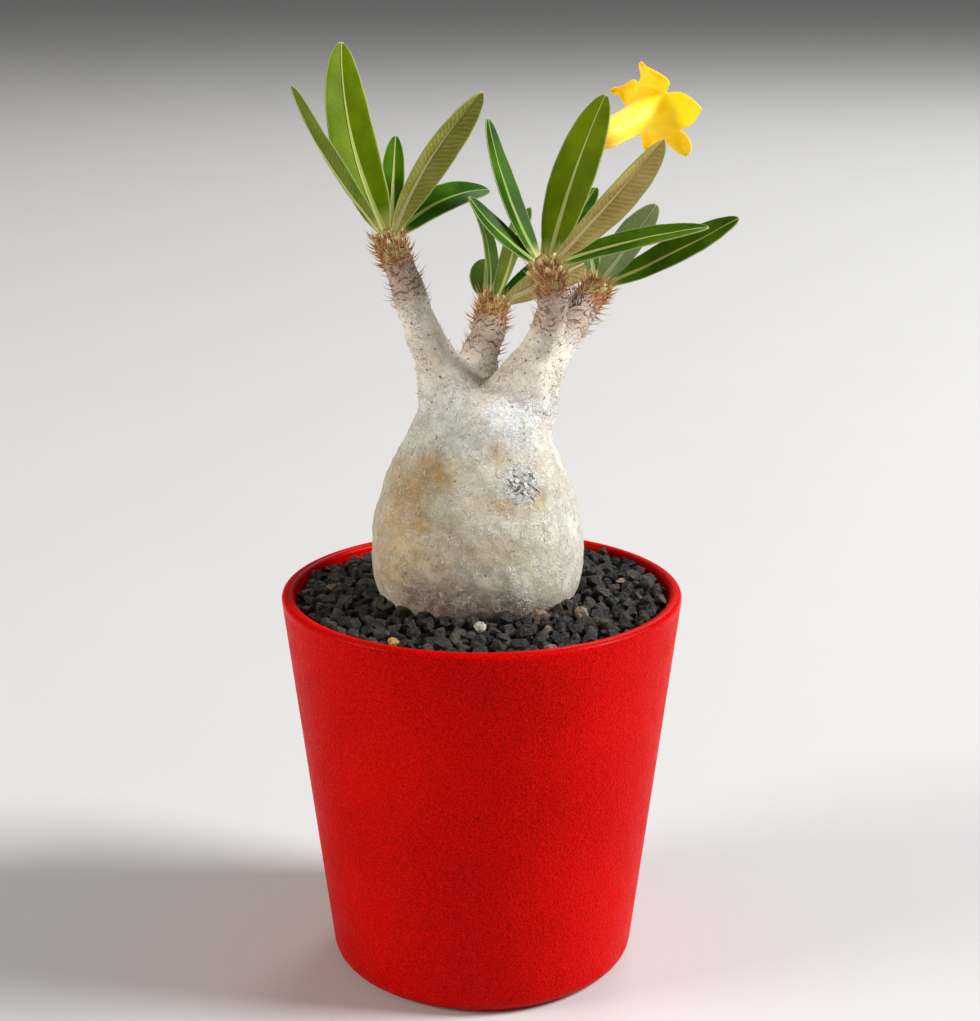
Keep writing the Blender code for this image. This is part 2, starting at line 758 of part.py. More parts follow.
def limb_ring():
    """(across, up) points where the tube opens out, running through the notches between the lobes."""
    ring = []
    for lobe, following in zip(LOBES, (*LOBES[1:], LOBES[0])):
        start, end = Vector(lobe.notch), Vector(following.notch)
        for column in range(LOBE_COLUMNS):
            share = column / LOBE_COLUMNS
            chord = start.lerp(end, share)
            radius = mix(LIMB_RING, chord.length, abs(2 * share - 1))
            ring.append(chord.normalized() * radius)
    return ring


def lobe_row(lobe, share):
    """(across, up) points across a lobe, a share of the way from its shoulders to its tip."""
    near, far, tip = Vector(lobe.near), Vector(lobe.far), Vector(lobe.tip)
    left, right = near.lerp(tip, share), far.lerp(tip, share)
    bulge = (tip - (near + far) / 2) * LOBE_BULGE * (1 - share)
    row = []
    for column in range(LOBE_COLUMNS + 1):
        place = column / LOBE_COLUMNS
        row.append(left.lerp(right, place) + bulge * 4 * place * (1 - place))
    return row


def build_corolla():
    """The yellow funnel: a narrow foot, a wide tube and five lobes that each lean to one side."""
    steps = len(LOBES) * LOBE_COLUMNS
    ring = limb_ring()
    points = []
    faces = [tuple(range(steps))]
    for along, radius in COROLLA_TUBE:
        for place in ring:
            points.append(flower_point(along, radius, math.atan2(place.y, place.x)))
    points += [limb_point(*place, LIMB_RING_STEP) for place in ring]
    for level in range(len(COROLLA_TUBE)):
        for step in range(steps):
            after = (step + 1) % steps
            here, ahead = level * steps, (level + 1) * steps
            faces.append((here + step, here + after, ahead + after, ahead + step))
    limb = len(COROLLA_TUBE) * steps
    for number, lobe in enumerate(LOBES):
        row = [limb + (number * LOBE_COLUMNS + column) % steps for column in range(LOBE_COLUMNS + 1)]
        for along, share in LOBE_ROWS:
            ahead = list(range(len(points), len(points) + LOBE_COLUMNS + 1))
            points += [limb_point(*place, along) for place in lobe_row(lobe, share)]
            for column in range(LOBE_COLUMNS):
                faces.append((row[column], row[column + 1], ahead[column + 1], ahead[column]))
            row = ahead
    return solid_sheet("corolla", points, faces, PETAL_THICKNESS, "petal")


def build_calyx():
    """A small cup with five pointed sepals round the foot of the corolla."""
    steps = 2 * SEPAL_COUNT
    points = []
    for along, radius in CALYX_CUP:
        for step in range(steps):
            points.append(flower_point(along, radius, math.tau * step / steps))
    faces = [tuple(range(steps))]
    for ring in range(len(CALYX_CUP) - 1):
        for step in range(steps):
            after = (step + 1) % steps
            here, ahead = ring * steps, (ring + 1) * steps
            faces.append((here + step, here + after, ahead + after, ahead + step))
    rim = (len(CALYX_CUP) - 1) * steps
    for sepal in range(SEPAL_COUNT):
        left, middle = rim + 2 * sepal, rim + 2 * sepal + 1
        right = rim + (2 * sepal + 2) % steps
        points.append(flower_point(SEPAL_REACH, SEPAL_RADIUS, math.tau * (2 * sepal + 1) / steps))
        tip = len(points) - 1
        faces += [(left, middle, tip), (middle, right, tip)]
    return solid_sheet("calyx", points, faces, SEPAL_THICKNESS, "sepal")


def build_stalk():
    """The flower's stalk, from the back of the middle branch's tip up to the calyx."""
    crown = BRANCHES["c"][-1]
    outward = Vector((math.cos(STALK_SEAT), math.sin(STALK_SEAT), STALK_SEAT_RISE)).normalized()
    start = Vector(crown[:3]) + outward * (crown[3] + GAP + STALK_SEAT_OFFSET)
    end = FLOWER_BASE + FLOWER_AXIS * (CALYX_CUP[0][0] - 3 * GAP)
    path = []
    for step in range(STALK_POINTS):
        share = step / (STALK_POINTS - 1)
        left = 1 - share
        place = start * left**3 + (start + STALK_RISE) * 3 * left * left * share
        place += (end - STALK_APPROACH) * 3 * left * share * share + end * share**3
        path.append((*place, STALK_RADIUS))
    return tube("flower_stalk", path, "stalk", STALK_SIDES_RESOLUTION)


def main():
    clear_scene()
    build_pot()
    build_soil()
    build_gravel()
    build_trunk()
    for leaf in LEAVES:
        build_leaf(leaf)
    build_stalk()
    build_calyx()
    build_corolla()


if __name__ == "__main__":
    main()
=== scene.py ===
"""Looks of the potted pachypodium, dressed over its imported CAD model.

Sizes and places are in millimetres in the CAD model's frame, and are scaled by MM where a mesh, a light or
the camera takes them. +Z is up the pot's axis, and the plant's front faces -Y.
"""

import logging
import math
import random
from dataclasses import dataclass, field
from enum import Enum
from typing import Callable, ClassVar, Iterable, Iterator, Sequence

import bmesh
import bpy
from mathutils import Matrix, Vector
from mathutils.bvhtree import BVHTree

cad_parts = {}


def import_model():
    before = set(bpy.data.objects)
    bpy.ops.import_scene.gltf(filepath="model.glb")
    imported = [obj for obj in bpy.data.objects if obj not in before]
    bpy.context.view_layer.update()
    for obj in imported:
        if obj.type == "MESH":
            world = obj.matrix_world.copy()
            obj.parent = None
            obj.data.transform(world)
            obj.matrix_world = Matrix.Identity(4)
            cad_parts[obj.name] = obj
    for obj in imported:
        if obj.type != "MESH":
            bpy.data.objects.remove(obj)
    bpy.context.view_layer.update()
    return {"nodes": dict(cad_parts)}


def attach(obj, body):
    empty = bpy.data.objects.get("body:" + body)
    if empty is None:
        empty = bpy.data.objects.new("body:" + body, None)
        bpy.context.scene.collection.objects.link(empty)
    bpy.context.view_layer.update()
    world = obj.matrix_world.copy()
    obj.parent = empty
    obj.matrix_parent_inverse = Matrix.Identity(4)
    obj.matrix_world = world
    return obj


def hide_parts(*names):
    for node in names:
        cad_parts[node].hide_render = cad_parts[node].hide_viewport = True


MM = 0.001
GOLDEN_ANGLE = math.radians(137.508)
BODY = "root"
MERGE = 0.01 * MM
UP = Vector((0.0, 0.0, 1.0))
BACK = Vector((0.0, 1.0, 0.0))

Colour = tuple[float, float, float]
Point = tuple[float, float, float]
Outline = Sequence[tuple[float, float]]
Bar = Sequence[tuple[float, float, float, float]]
Piece = bpy.types.Object
Material = bpy.types.Material

log = logging.getLogger("pachypodium")


def mix(low: float, high: float, share: float) -> float:
    """Returns the value a share of the way from low to high."""
    return low + (high - low) * share


def ease(share: float) -> float:
    """Returns a share smoothed so that it starts and ends level."""
    share = min(max(share, 0.0), 1.0)
    return share * share * (3 - 2 * share)


def smooth_path(points: Sequence[Sequence[float]], count: int) -> list[tuple[float, ...]]:
    """Reads points off a smooth curve that passes through the given ones.

    Args:
        points: The points to pass through, each with any number of values.
        count: How many points to return, at even steps.
    """
    path = []
    spans = len(points) - 1
    for step in range(count):
        place = spans * step / (count - 1)
        span = min(int(place), spans - 1)
        share = place - span
        square, cube = share**2, share**3
        around = (points[max(span - 1, 0)], points[span], points[span + 1], points[min(span + 2, spans)])
        path.append(tuple(
            (2 * cube - 3 * square + 1) * p1
            + (cube - 2 * square + share) * (p2 - p0) / 2
            + (3 * square - 2 * cube) * p2
            + (cube - square) * (p3 - p1) / 2
            for p0, p1, p2, p3 in zip(*around)
        ))
    return path


def read_off(table: Outline, place: float) -> float:
    """Reads a value off a table of (place, value) rows in rising order, straight from row to row."""
    if place <= table[0][0]:
        return table[0][1]
    for (start, low), (end, high) in zip(table, table[1:]):
        if place <= end:
            return mix(low, high, (place - start) / (end - start))
    return table[-1][1]


def corner_arc(before: tuple, corner: tuple, after: tuple, radius: float, steps: int) -> list[tuple]:
    """Rounds one corner of a (radius, height) outline.

    Args:
        before: The outline's point before the corner.
        corner: The corner itself.
        after: The outline's point after the corner.
        radius: The radius of the rounding.
        steps: How many straight pieces the arc has.

    Returns:
        The arc's points, from the side of before to the side of after.
    """
    corner = Vector(corner)
    incoming = (Vector(before) - corner).normalized()
    outgoing = (Vector(after) - corner).normalized()
    half_angle = incoming.angle(outgoing) / 2
    setback = radius / math.tan(half_angle)
    centre = corner + (incoming + outgoing).normalized() * radius / math.sin(half_angle)
    first = corner + incoming * setback - centre
    last = corner + outgoing * setback - centre
    return [tuple(centre + first.slerp(last, step / steps) * radius) for step in range(steps + 1)]


def headings(spots: Sequence[Vector]) -> list[Vector]:
    """Returns the direction of a path at each of its points."""
    last = len(spots) - 1
    return [(spots[min(n + 1, last)] - spots[max(n - 1, 0)]).normalized() for n in range(last + 1)]


def polar(turn: float, radius: float = 1.0) -> tuple[float, float]:
    """Returns the point at an angle on a circle."""
    return radius * math.cos(turn), radius * math.sin(turn)


def settle() -> None:
    """Leaves edit mode and deselects every object."""
    if bpy.context.mode != "OBJECT":
        bpy.ops.object.mode_set(mode="OBJECT")
    bpy.ops.object.select_all(action="DESELECT")


def take(*pieces: Piece) -> None:
    """Makes some pieces the only ones selected, and the first the active one."""
    settle()
    for piece in pieces:
        piece.select_set(True)
    bpy.context.view_layer.objects.active = pieces[0]


def start(add: Callable, **settings: object) -> Piece:
    """Adds a primitive and opens it in edit mode with all of it selected."""
    settle()
    add(**settings)
    bpy.ops.object.mode_set(mode="EDIT")
    bpy.ops.mesh.select_mode(type="VERT")
    bpy.ops.mesh.select_all(action="SELECT")
    return bpy.context.object


def choose(piece: Piece, wanted: Callable[[bmesh.types.BMVert], bool]) -> None:
    """Selects just the vertices of the mesh under edit that pass a test."""
    mesh = bmesh.from_edit_mesh(piece.data)
    bpy.ops.mesh.select_all(action="DESELECT")
    for vertex in mesh.verts:
        vertex.select = wanted(vertex)
    mesh.select_flush_mode()
    bmesh.update_edit_mesh(piece.data)


def move_vertices(piece: Piece, places: Callable[[bmesh.types.BMVert], Vector]) -> None:
    """Moves each vertex of the mesh under edit to the place that a function gives for it."""
    for vertex in bmesh.from_edit_mesh(piece.data).verts:
        vertex.co = places(vertex)
    bmesh.update_edit_mesh(piece.data)


def close_mesh() -> None:
    """Merges doubles, turns every face outwards and leaves edit mode."""
    bpy.ops.mesh.select_all(action="SELECT")
    bpy.ops.mesh.remove_doubles(threshold=MERGE)
    bpy.ops.mesh.normals_make_consistent(inside=False)
    settle()


def name_piece(piece: Piece, name: str) -> Piece:
    """Puts a piece's place into its mesh and gives both the piece's name."""
    take(piece)
    bpy.ops.object.transform_apply(location=True, rotation=True, scale=True)
    piece.name = name
    piece.data.name = name
    return piece


def add_modifier(piece: Piece, kind: str, **settings: object) -> None:
    """Adds a modifier with its settings and applies it at once."""
    take(piece)
    modifier = piece.modifiers.new(kind.lower(), kind)
    for setting, value in settings.items():
        setattr(modifier, setting, value)
    bpy.ops.object.modifier_apply(modifier=modifier.name)


def thicken(piece: Piece, thickness: float, **settings: object) -> None:
    """Gives a sheet its thickness in millimetres and rounds it by one subdivision."""
    add_modifier(piece, "SOLIDIFY", thickness=thickness * MM, **settings)
    add_modifier(piece, "SUBSURF", levels=1, render_levels=1)


def displace(piece: Piece, name: str, size: float, strength: float, **settings: object) -> None:
    """Pushes a piece's skin in and out by cloudy noise of a size and strength in metres."""
    clouds = bpy.data.textures.new(name, "CLOUDS")
    clouds.noise_scale = size
    add_modifier(piece, "DISPLACE", texture=clouds, strength=strength, mid_level=0.5, **settings)


def join(pieces: Sequence[Piece], name: str) -> Piece:
    """Joins several objects into the first one."""
    take(*pieces)
    bpy.ops.object.join()
    return name_piece(pieces[0], name)


def shade(piece: Piece, angle: float = 180.0) -> Piece:
    """Shades a piece smooth, with sharp edges past an angle in degrees."""
    take(piece)
    bpy.ops.object.shade_smooth_by_angle(angle=math.radians(angle))
    return piece


def gather(models: Sequence[Piece], copies: Sequence[Piece], name: str, angle: float = 180.0) -> Piece:
    """Deletes the models, and joins and shades their copies."""
    for model in models:
        bpy.data.objects.remove(model)
    return shade(join(copies, name), angle)


def spin_solid(name: str, outline: Outline, steps: int) -> Piece:
    """Spins an outline round the Z axis into a closed solid.

    Args:
        name: The piece's name.
        outline: (radius, height) points, whose first and last are on the axis.
        steps: How many steps make the full turn.
    """
    radius, height = outline[0]
    piece = start(bpy.ops.mesh.primitive_plane_add, size=MM, location=(radius * MM, 0.0, height * MM))
    bpy.ops.mesh.merge(type="CENTER")
    for before, after in zip(outline, outline[1:]):
        step = ((after[0] - before[0]) * MM, 0.0, (after[1] - before[1]) * MM)
        bpy.ops.mesh.extrude_vertices_move(TRANSFORM_OT_translate={"value": step})
    bpy.ops.mesh.select_all(action="SELECT")
    bpy.ops.mesh.spin(steps=steps, angle=math.tau, center=(0.0, 0.0, 0.0), axis=UP)
    close_mesh()
    return name_piece(piece, name)


def extrude_bar(name: str, path: Bar, sides: int) -> Piece:
    """Extrudes a circle ring by ring along a path, and closes both ends.

    Args:
        name: The piece's name.
        path: The (x, y, z, radius) points that the bar follows.
        sides: How many sides the circle has.
    """
    spots = [Vector(point[:3]) * MM for point in path]
    ways = headings(spots)
    piece = start(bpy.ops.mesh.primitive_circle_add, vertices=sides, radius=path[0][3] * MM)
    move = Matrix.Translation(spots[0]) @ ways[0].to_track_quat("Z", "Y").to_matrix().to_4x4()
    for number in range(len(spots)):
        if number:
            bpy.ops.mesh.extrude_edges_move()
            turn = ways[number - 1].rotation_difference(ways[number]).to_matrix().to_4x4()
            size = Matrix.Scale(path[number][3] / path[number - 1][3], 4)
            move = Matrix.Translation(spots[number]) @ turn @ size @ Matrix.Translation(-spots[number - 1])
        mesh = bmesh.from_edit_mesh(piece.data)
        bmesh.ops.transform(mesh, matrix=move, verts=[vertex for vertex in mesh.verts if vertex.select])
        bmesh.update_edit_mesh(piece.data)
    bpy.ops.mesh.edge_face_add()
    choose(piece, lambda vertex: vertex.index < sides)
    bpy.ops.mesh.edge_face_add()
    close_mesh()
    return name_piece(piece, name)


def mark(piece: Piece, name: str, measure: Callable[[Vector], float]) -> None:
    """Writes for each vertex a number worked out of its place, for a material to read."""
    attribute = piece.data.attributes.get(name) or piece.data.attributes.new(name, "FLOAT", "POINT")
    attribute.data.foreach_set("value", [measure(vertex.co) for vertex in piece.data.vertices])


def copy_to(model: Piece, move: Matrix, tone: float) -> Piece:
    """Copies a model with a mesh of its own, moved by a matrix, and writes the copy's tone."""
    copy = model.copy()
    copy.data = model.data.copy()
    copy.data.transform(move)
    mark(copy, "tone", lambda place: tone)
    bpy.context.scene.collection.objects.link(copy)
    return copy


def stand(
    model: Piece, spot: Vector, heading: Vector, towards: Vector, size: Sequence[float], tone: float
) -> Piece:
    """Copies a model to a spot on the bark.

    Args:
        model: What is copied, standing up +Z.
        spot: Where its foot goes, in metres.
        heading: The direction it stands in.
        towards: The direction its +X side turns to.
        size: Its size along its own axes, in millimetres.
        tone: Its shade, from 0 to 1.
    """
    upright = heading.normalized()
    across = upright.cross(towards).normalized()
    turn = Matrix((across.cross(upright), across, upright)).transposed().to_4x4()
    scale = Matrix.Diagonal((*(Vector(size) * MM), 1.0))
    return copy_to(model, Matrix.Translation(spot) @ turn @ scale, tone)


def dress(piece: Piece, finishes: Sequence[Material], nodes: Sequence[str]) -> None:
    """Gives a piece its finishes and its body, and hides the CAD nodes that it stands for.

    Args:
        piece: The finished piece.
        finishes: The materials, in the order of the piece's own material slots.
        nodes: The CAD nodes that the piece stands for.
    """
    for number, finish in enumerate(finishes):
        if number < len(piece.data.materials):
            piece.data.materials[number] = finish
        else:
            piece.data.materials.append(finish)
    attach(piece, BODY)
    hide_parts(*nodes)
    log.info("%s: %d faces", piece.name, len(piece.data.polygons))


class Value:
    """A number, colour or place that a material works out at each point of its surface."""

    def __init__(self, surface: "Surface", socket: bpy.types.NodeSocket) -> None:
        """Wraps a node's output."""
        self.surface = surface
        self.socket = socket

    def math(self, operation: str, other: object = 0.0) -> "Value":
        """Returns the result of a Math node on this number and another."""
        return self.surface.node("Math", (self, other), operation=operation)

    def __add__(self, other: object) -> "Value":
        """Returns the sum."""
        return self.math("ADD", other)

    def __sub__(self, other: object) -> "Value":
        """Returns the difference."""
        return self.math("SUBTRACT", other)

    def __mul__(self, other: object) -> "Value":
        """Returns the product."""
        return self.math("MULTIPLY", other)

    def __abs__(self) -> "Value":
        """Returns the number without its sign."""
        return self.math("ABSOLUTE")

    def wave(self, step: float) -> "Value":
        """Returns a sine wave of this number, whose crests are a step apart."""
        return (self * (math.tau / step)).math("SINE")

    def rest(self) -> "Value":
        """Returns what is missing to 1."""
        return self.surface.node("Math", (1.0, self), operation="SUBTRACT")

    def between(self, low: float, high: float, first: float = 0.0, last: float = 1.0) -> "Value":
        """Returns a number that eases from first to last while this one goes from low to high."""
        values = (self, low, high, first, last)
        return self.surface.node("MapRange", values, interpolation_type="SMOOTHSTEP")


@dataclass(frozen=True)
class Stain:
    """An oval patch on the caudex: its tint, its middle, its half sizes and how strong it is."""

    tint: Colour
    centre: Point
    size: Point
    strength: float = 1.0


class Surface:
    """A material painted one pattern at a time on the piece's Object coordinates."""

    def __init__(self, name: str, roughness: float, specular: float = 0.5) -> None:
        """Starts a Principled material with its constant roughness and specular level."""
        self.material = bpy.data.materials.new(name)
        self.material.use_nodes = True
        self.shader = self.material.node_tree.nodes["Principled BSDF"]
        self.set({"Roughness": roughness, "Specular IOR Level": specular})
        self.place = self.node("TexCoord", (), "Object")
        self.colour: Value | None = None
        self.normal: Value | None = None

    def feed(self, socket: bpy.types.NodeSocket, value: object) -> None:
        """Links a socket to a value, or sets it to a number, colour or vector."""
        if isinstance(value, Value):
            self.material.node_tree.links.new(value.socket, socket)
        else:
            socket.default_value = (*value, 1.0) if socket.type == "RGBA" else value

    def set(self, inputs: dict[str, object]) -> None:
        """Feeds inputs of the Principled shader."""
        for name, value in inputs.items():
            self.feed(self.shader.inputs[name], value)

    def node(self, kind: str, inputs: object, output: int | str = 0, **settings: object) -> Value:
        """Adds a node and returns one of its outputs.

        Args:
            kind: The end of the node's type name, such as Math.
            inputs: What goes into its inputs, in their order or by their names or numbers.
            output: The name or number of the output.
            settings: The node's own settings.
        """
        node = self.material.node_tree.nodes.new(f"ShaderNode{kind}")
        for setting, value in settings.items():
            setattr(node, setting, value)
        pairs = inputs.items() if isinstance(inputs, dict) else enumerate(inputs)
        for key, value in pairs:
            self.feed(node.inputs[key], value)
        return Value(self, node.outputs[output])

    def noise(
        self, size: float, detail: float = 3.0, distortion: float = 0.0, roughness: float = 0.5
    ) -> Value:
        """Returns noise whose blotches are about size millimetres across."""
        inputs = {"Vector": self.place, "Scale": 1 / (size * MM), "Detail": detail}
        return self.node("TexNoise", {**inputs, "Distortion": distortion, "Roughness": roughness}, "Fac")

    def cells(self, size: float, feature: str = "F1", place: Value | None = None) -> Value:
        """Returns a distance in a pattern of cells about size millimetres across."""
        inputs = {"Vector": place or self.place, "Scale": 1 / (size * MM)}
        return self.node("TexVoronoi", inputs, "Distance", feature=feature)

    def attribute(self, name: str) -> Value:
        """Returns the number that the mesh holds for each vertex under a name."""
        return self.node("Attribute", (), "Fac", attribute_name=name)

    def height(self) -> Value:
        """Returns the height above the floor, in metres."""
        return self.node("SeparateXYZ", (self.place,), "Z")

    def wobbled(self, size: float, reach: float) -> Value:
        """Returns Object coordinates pushed about by noise, so that a shape's edge is ragged.

        Args:
            size: The noise's size in millimetres.
            reach: How far it pushes, in millimetres.
        """
        noise = self.node("TexNoise", {"Vector": self.place, "Scale": 1 / (size * MM)}, "Color")
        full = (2 * reach * MM,) * 3
        pushed = self.node("VectorMath", (noise, full, self.place), operation="MULTIPLY_ADD")
        return self.node("VectorMath", (pushed, (reach * MM,) * 3), operation="SUBTRACT")

    def spot(self, place: Value, stain: Stain, inner: float) -> Value:
        """Returns a stain's strength inside its oval, falling to 0 at the edge from an inner share of it."""
        inputs = {"Vector": place, "Location": Vector(stain.centre) * MM, "Scale": Vector(stain.size) * MM}
        local = self.node("Mapping", inputs, vector_type="TEXTURE")
        length = self.node("VectorMath", (local,), "Value", operation="LENGTH")
        return length.between(inner, 1.0, stain.strength, 0.0)

    def paint(self, tint: Colour, share: Value, under: Colour | None = None) -> None:
        """Lays a tint over the colour so far, or over the first colour, where share is above 0."""
        self.colour = self.node("Mix", {0: share, 6: under or self.colour, 7: tint}, 2, data_type="RGBA")

    def relief(self, height: Value, depth: float) -> None:
        """Adds a relief of a depth in millimetres on top of those before it."""
        before = {"Normal": self.normal} if self.normal else {}
        self.normal = self.node("Bump", {"Distance": depth * MM, "Height": height, **before}, "Normal")

    def finished(self, roughness: Value | None = None) -> Material:
        """Connects the colour, the relief and any roughness pattern, and returns the material."""
        values = {"Base Color": self.colour, "Roughness": roughness, "Normal": self.normal}
        self.set({name: value for name, value in values.items() if value})
        return self.material


@dataclass(frozen=True)
class RedPlastic:
    """Red moulded plastic with a fine leathery grain, smooth and glossier at the lip."""

    deep: Colour = (0.36, 0.0009, 0.0006)
    bright: Colour = (0.70, 0.0034, 0.0018)
    roughness: float = 0.46
    lip_roughness: float = 0.34
    grain: float = 0.7
    grain_depth: float = 0.14
    lip: tuple[float, float] = (0.1046, 0.1056)

    def build(self) -> Material:
        """Returns the material."""
        red = Surface("red plastic", self.roughness, 0.03)
        grain = red.cells(self.grain, "SMOOTH_F1", red.wobbled(1.4, 0.3)) + red.noise(0.35, 2.0) * 0.5
        height = red.height()
        red.relief(grain * height.between(*self.lip).rest(), self.grain_depth)
        tone = red.noise(38.0, 2.0) * 0.16 + red.noise(0.42, 1.0) * 0.6
        red.paint(self.bright, tone.between(0.26, 0.5), self.deep)
        worn = red.noise(5.0, 4.0).between(0.35, 0.75, -0.05, 0.06)
        return red.finished(height.between(*self.lip, self.roughness, self.lip_roughness) + worn)


@dataclass(frozen=True)
class PottingMix:
    """Dark crumbly potting mix with pale bits of pumice."""

    dark: Colour = (0.022, 0.014, 0.009)
    light: Colour = (0.085, 0.055, 0.034)
    pumice: Colour = (0.38, 0.34, 0.28)

    def build(self) -> Material:
        """Returns the material."""
        soil = Surface("potting mix", 0.95, 0.2)
        crumb = soil.noise(1.8, 5.0)
        soil.paint(self.light, crumb.between(0.35, 0.7), self.dark)
        soil.paint(self.pumice, soil.cells(4.0).between(0.16, 0.22, 1.0, 0.0))
        soil.relief(crumb, 0.6)
        return soil.finished()


@dataclass(frozen=True)
class Chips:
    """Weathered charcoal chips, told apart by the tone attribute: a few are brown, and fewer are pale. Their
    bumps carry pale dust and a painted highlight, and their pits painted shade.
    """

    charcoal: Colour = (0.007, 0.006, 0.005)
    slate: Colour = (0.032, 0.031, 0.028)
    brown: Colour = (0.085, 0.060, 0.036)
    # the tints of odd chips, from a tone upwards
    odd: tuple[tuple[float, Colour], ...] = (
        (1.5, (0.30, 0.20, 0.12)), (2.5, (0.66, 0.33, 0.09)), (3.5, (0.72, 0.66, 0.56)),
    )
    brown_from: float = 0.6
    step: float = 0.12
    # partly pale dust, partly a painted highlight on the raised bumps
    dust_and_highlight: Colour = (0.24, 0.21, 0.17)
    # painted shade in the pits
    pit_shade: Colour = (0.003, 0.003, 0.0025)

    def build(self) -> Material:
        """Returns the material."""
        chips = Surface("gravel chips", 0.62, 0.4)
        tone = chips.attribute("tone")
        chips.paint(self.slate, tone.between(0.0, 0.7), self.charcoal)
        patchy = chips.noise(2.2).between(0.4, 0.6)
        chips.paint(self.brown, tone.between(self.brown_from, self.brown_from + self.step) * patchy)
        for first, tint in self.odd:
            chips.paint(tint, tone.between(first, first + self.step))
        pits = chips.noise(0.9, 5.0, 0.8, 0.65)
        # pale dust and a painted highlight on the tops of the bumps
        chips.paint(self.dust_and_highlight, pits.between(0.55, 0.72, 0.0, 0.44))
        # painted shade: the low pits darkened
        chips.paint(self.pit_shade, pits.between(0.38, 0.5, 0.8, 0.0))
        chips.relief(pits, 0.8)
        chips.relief(chips.noise(2.2, 2.0, 0.6), 0.7)
        return chips.finished(pits.between(0.3, 0.7, 0.38, 0.7))


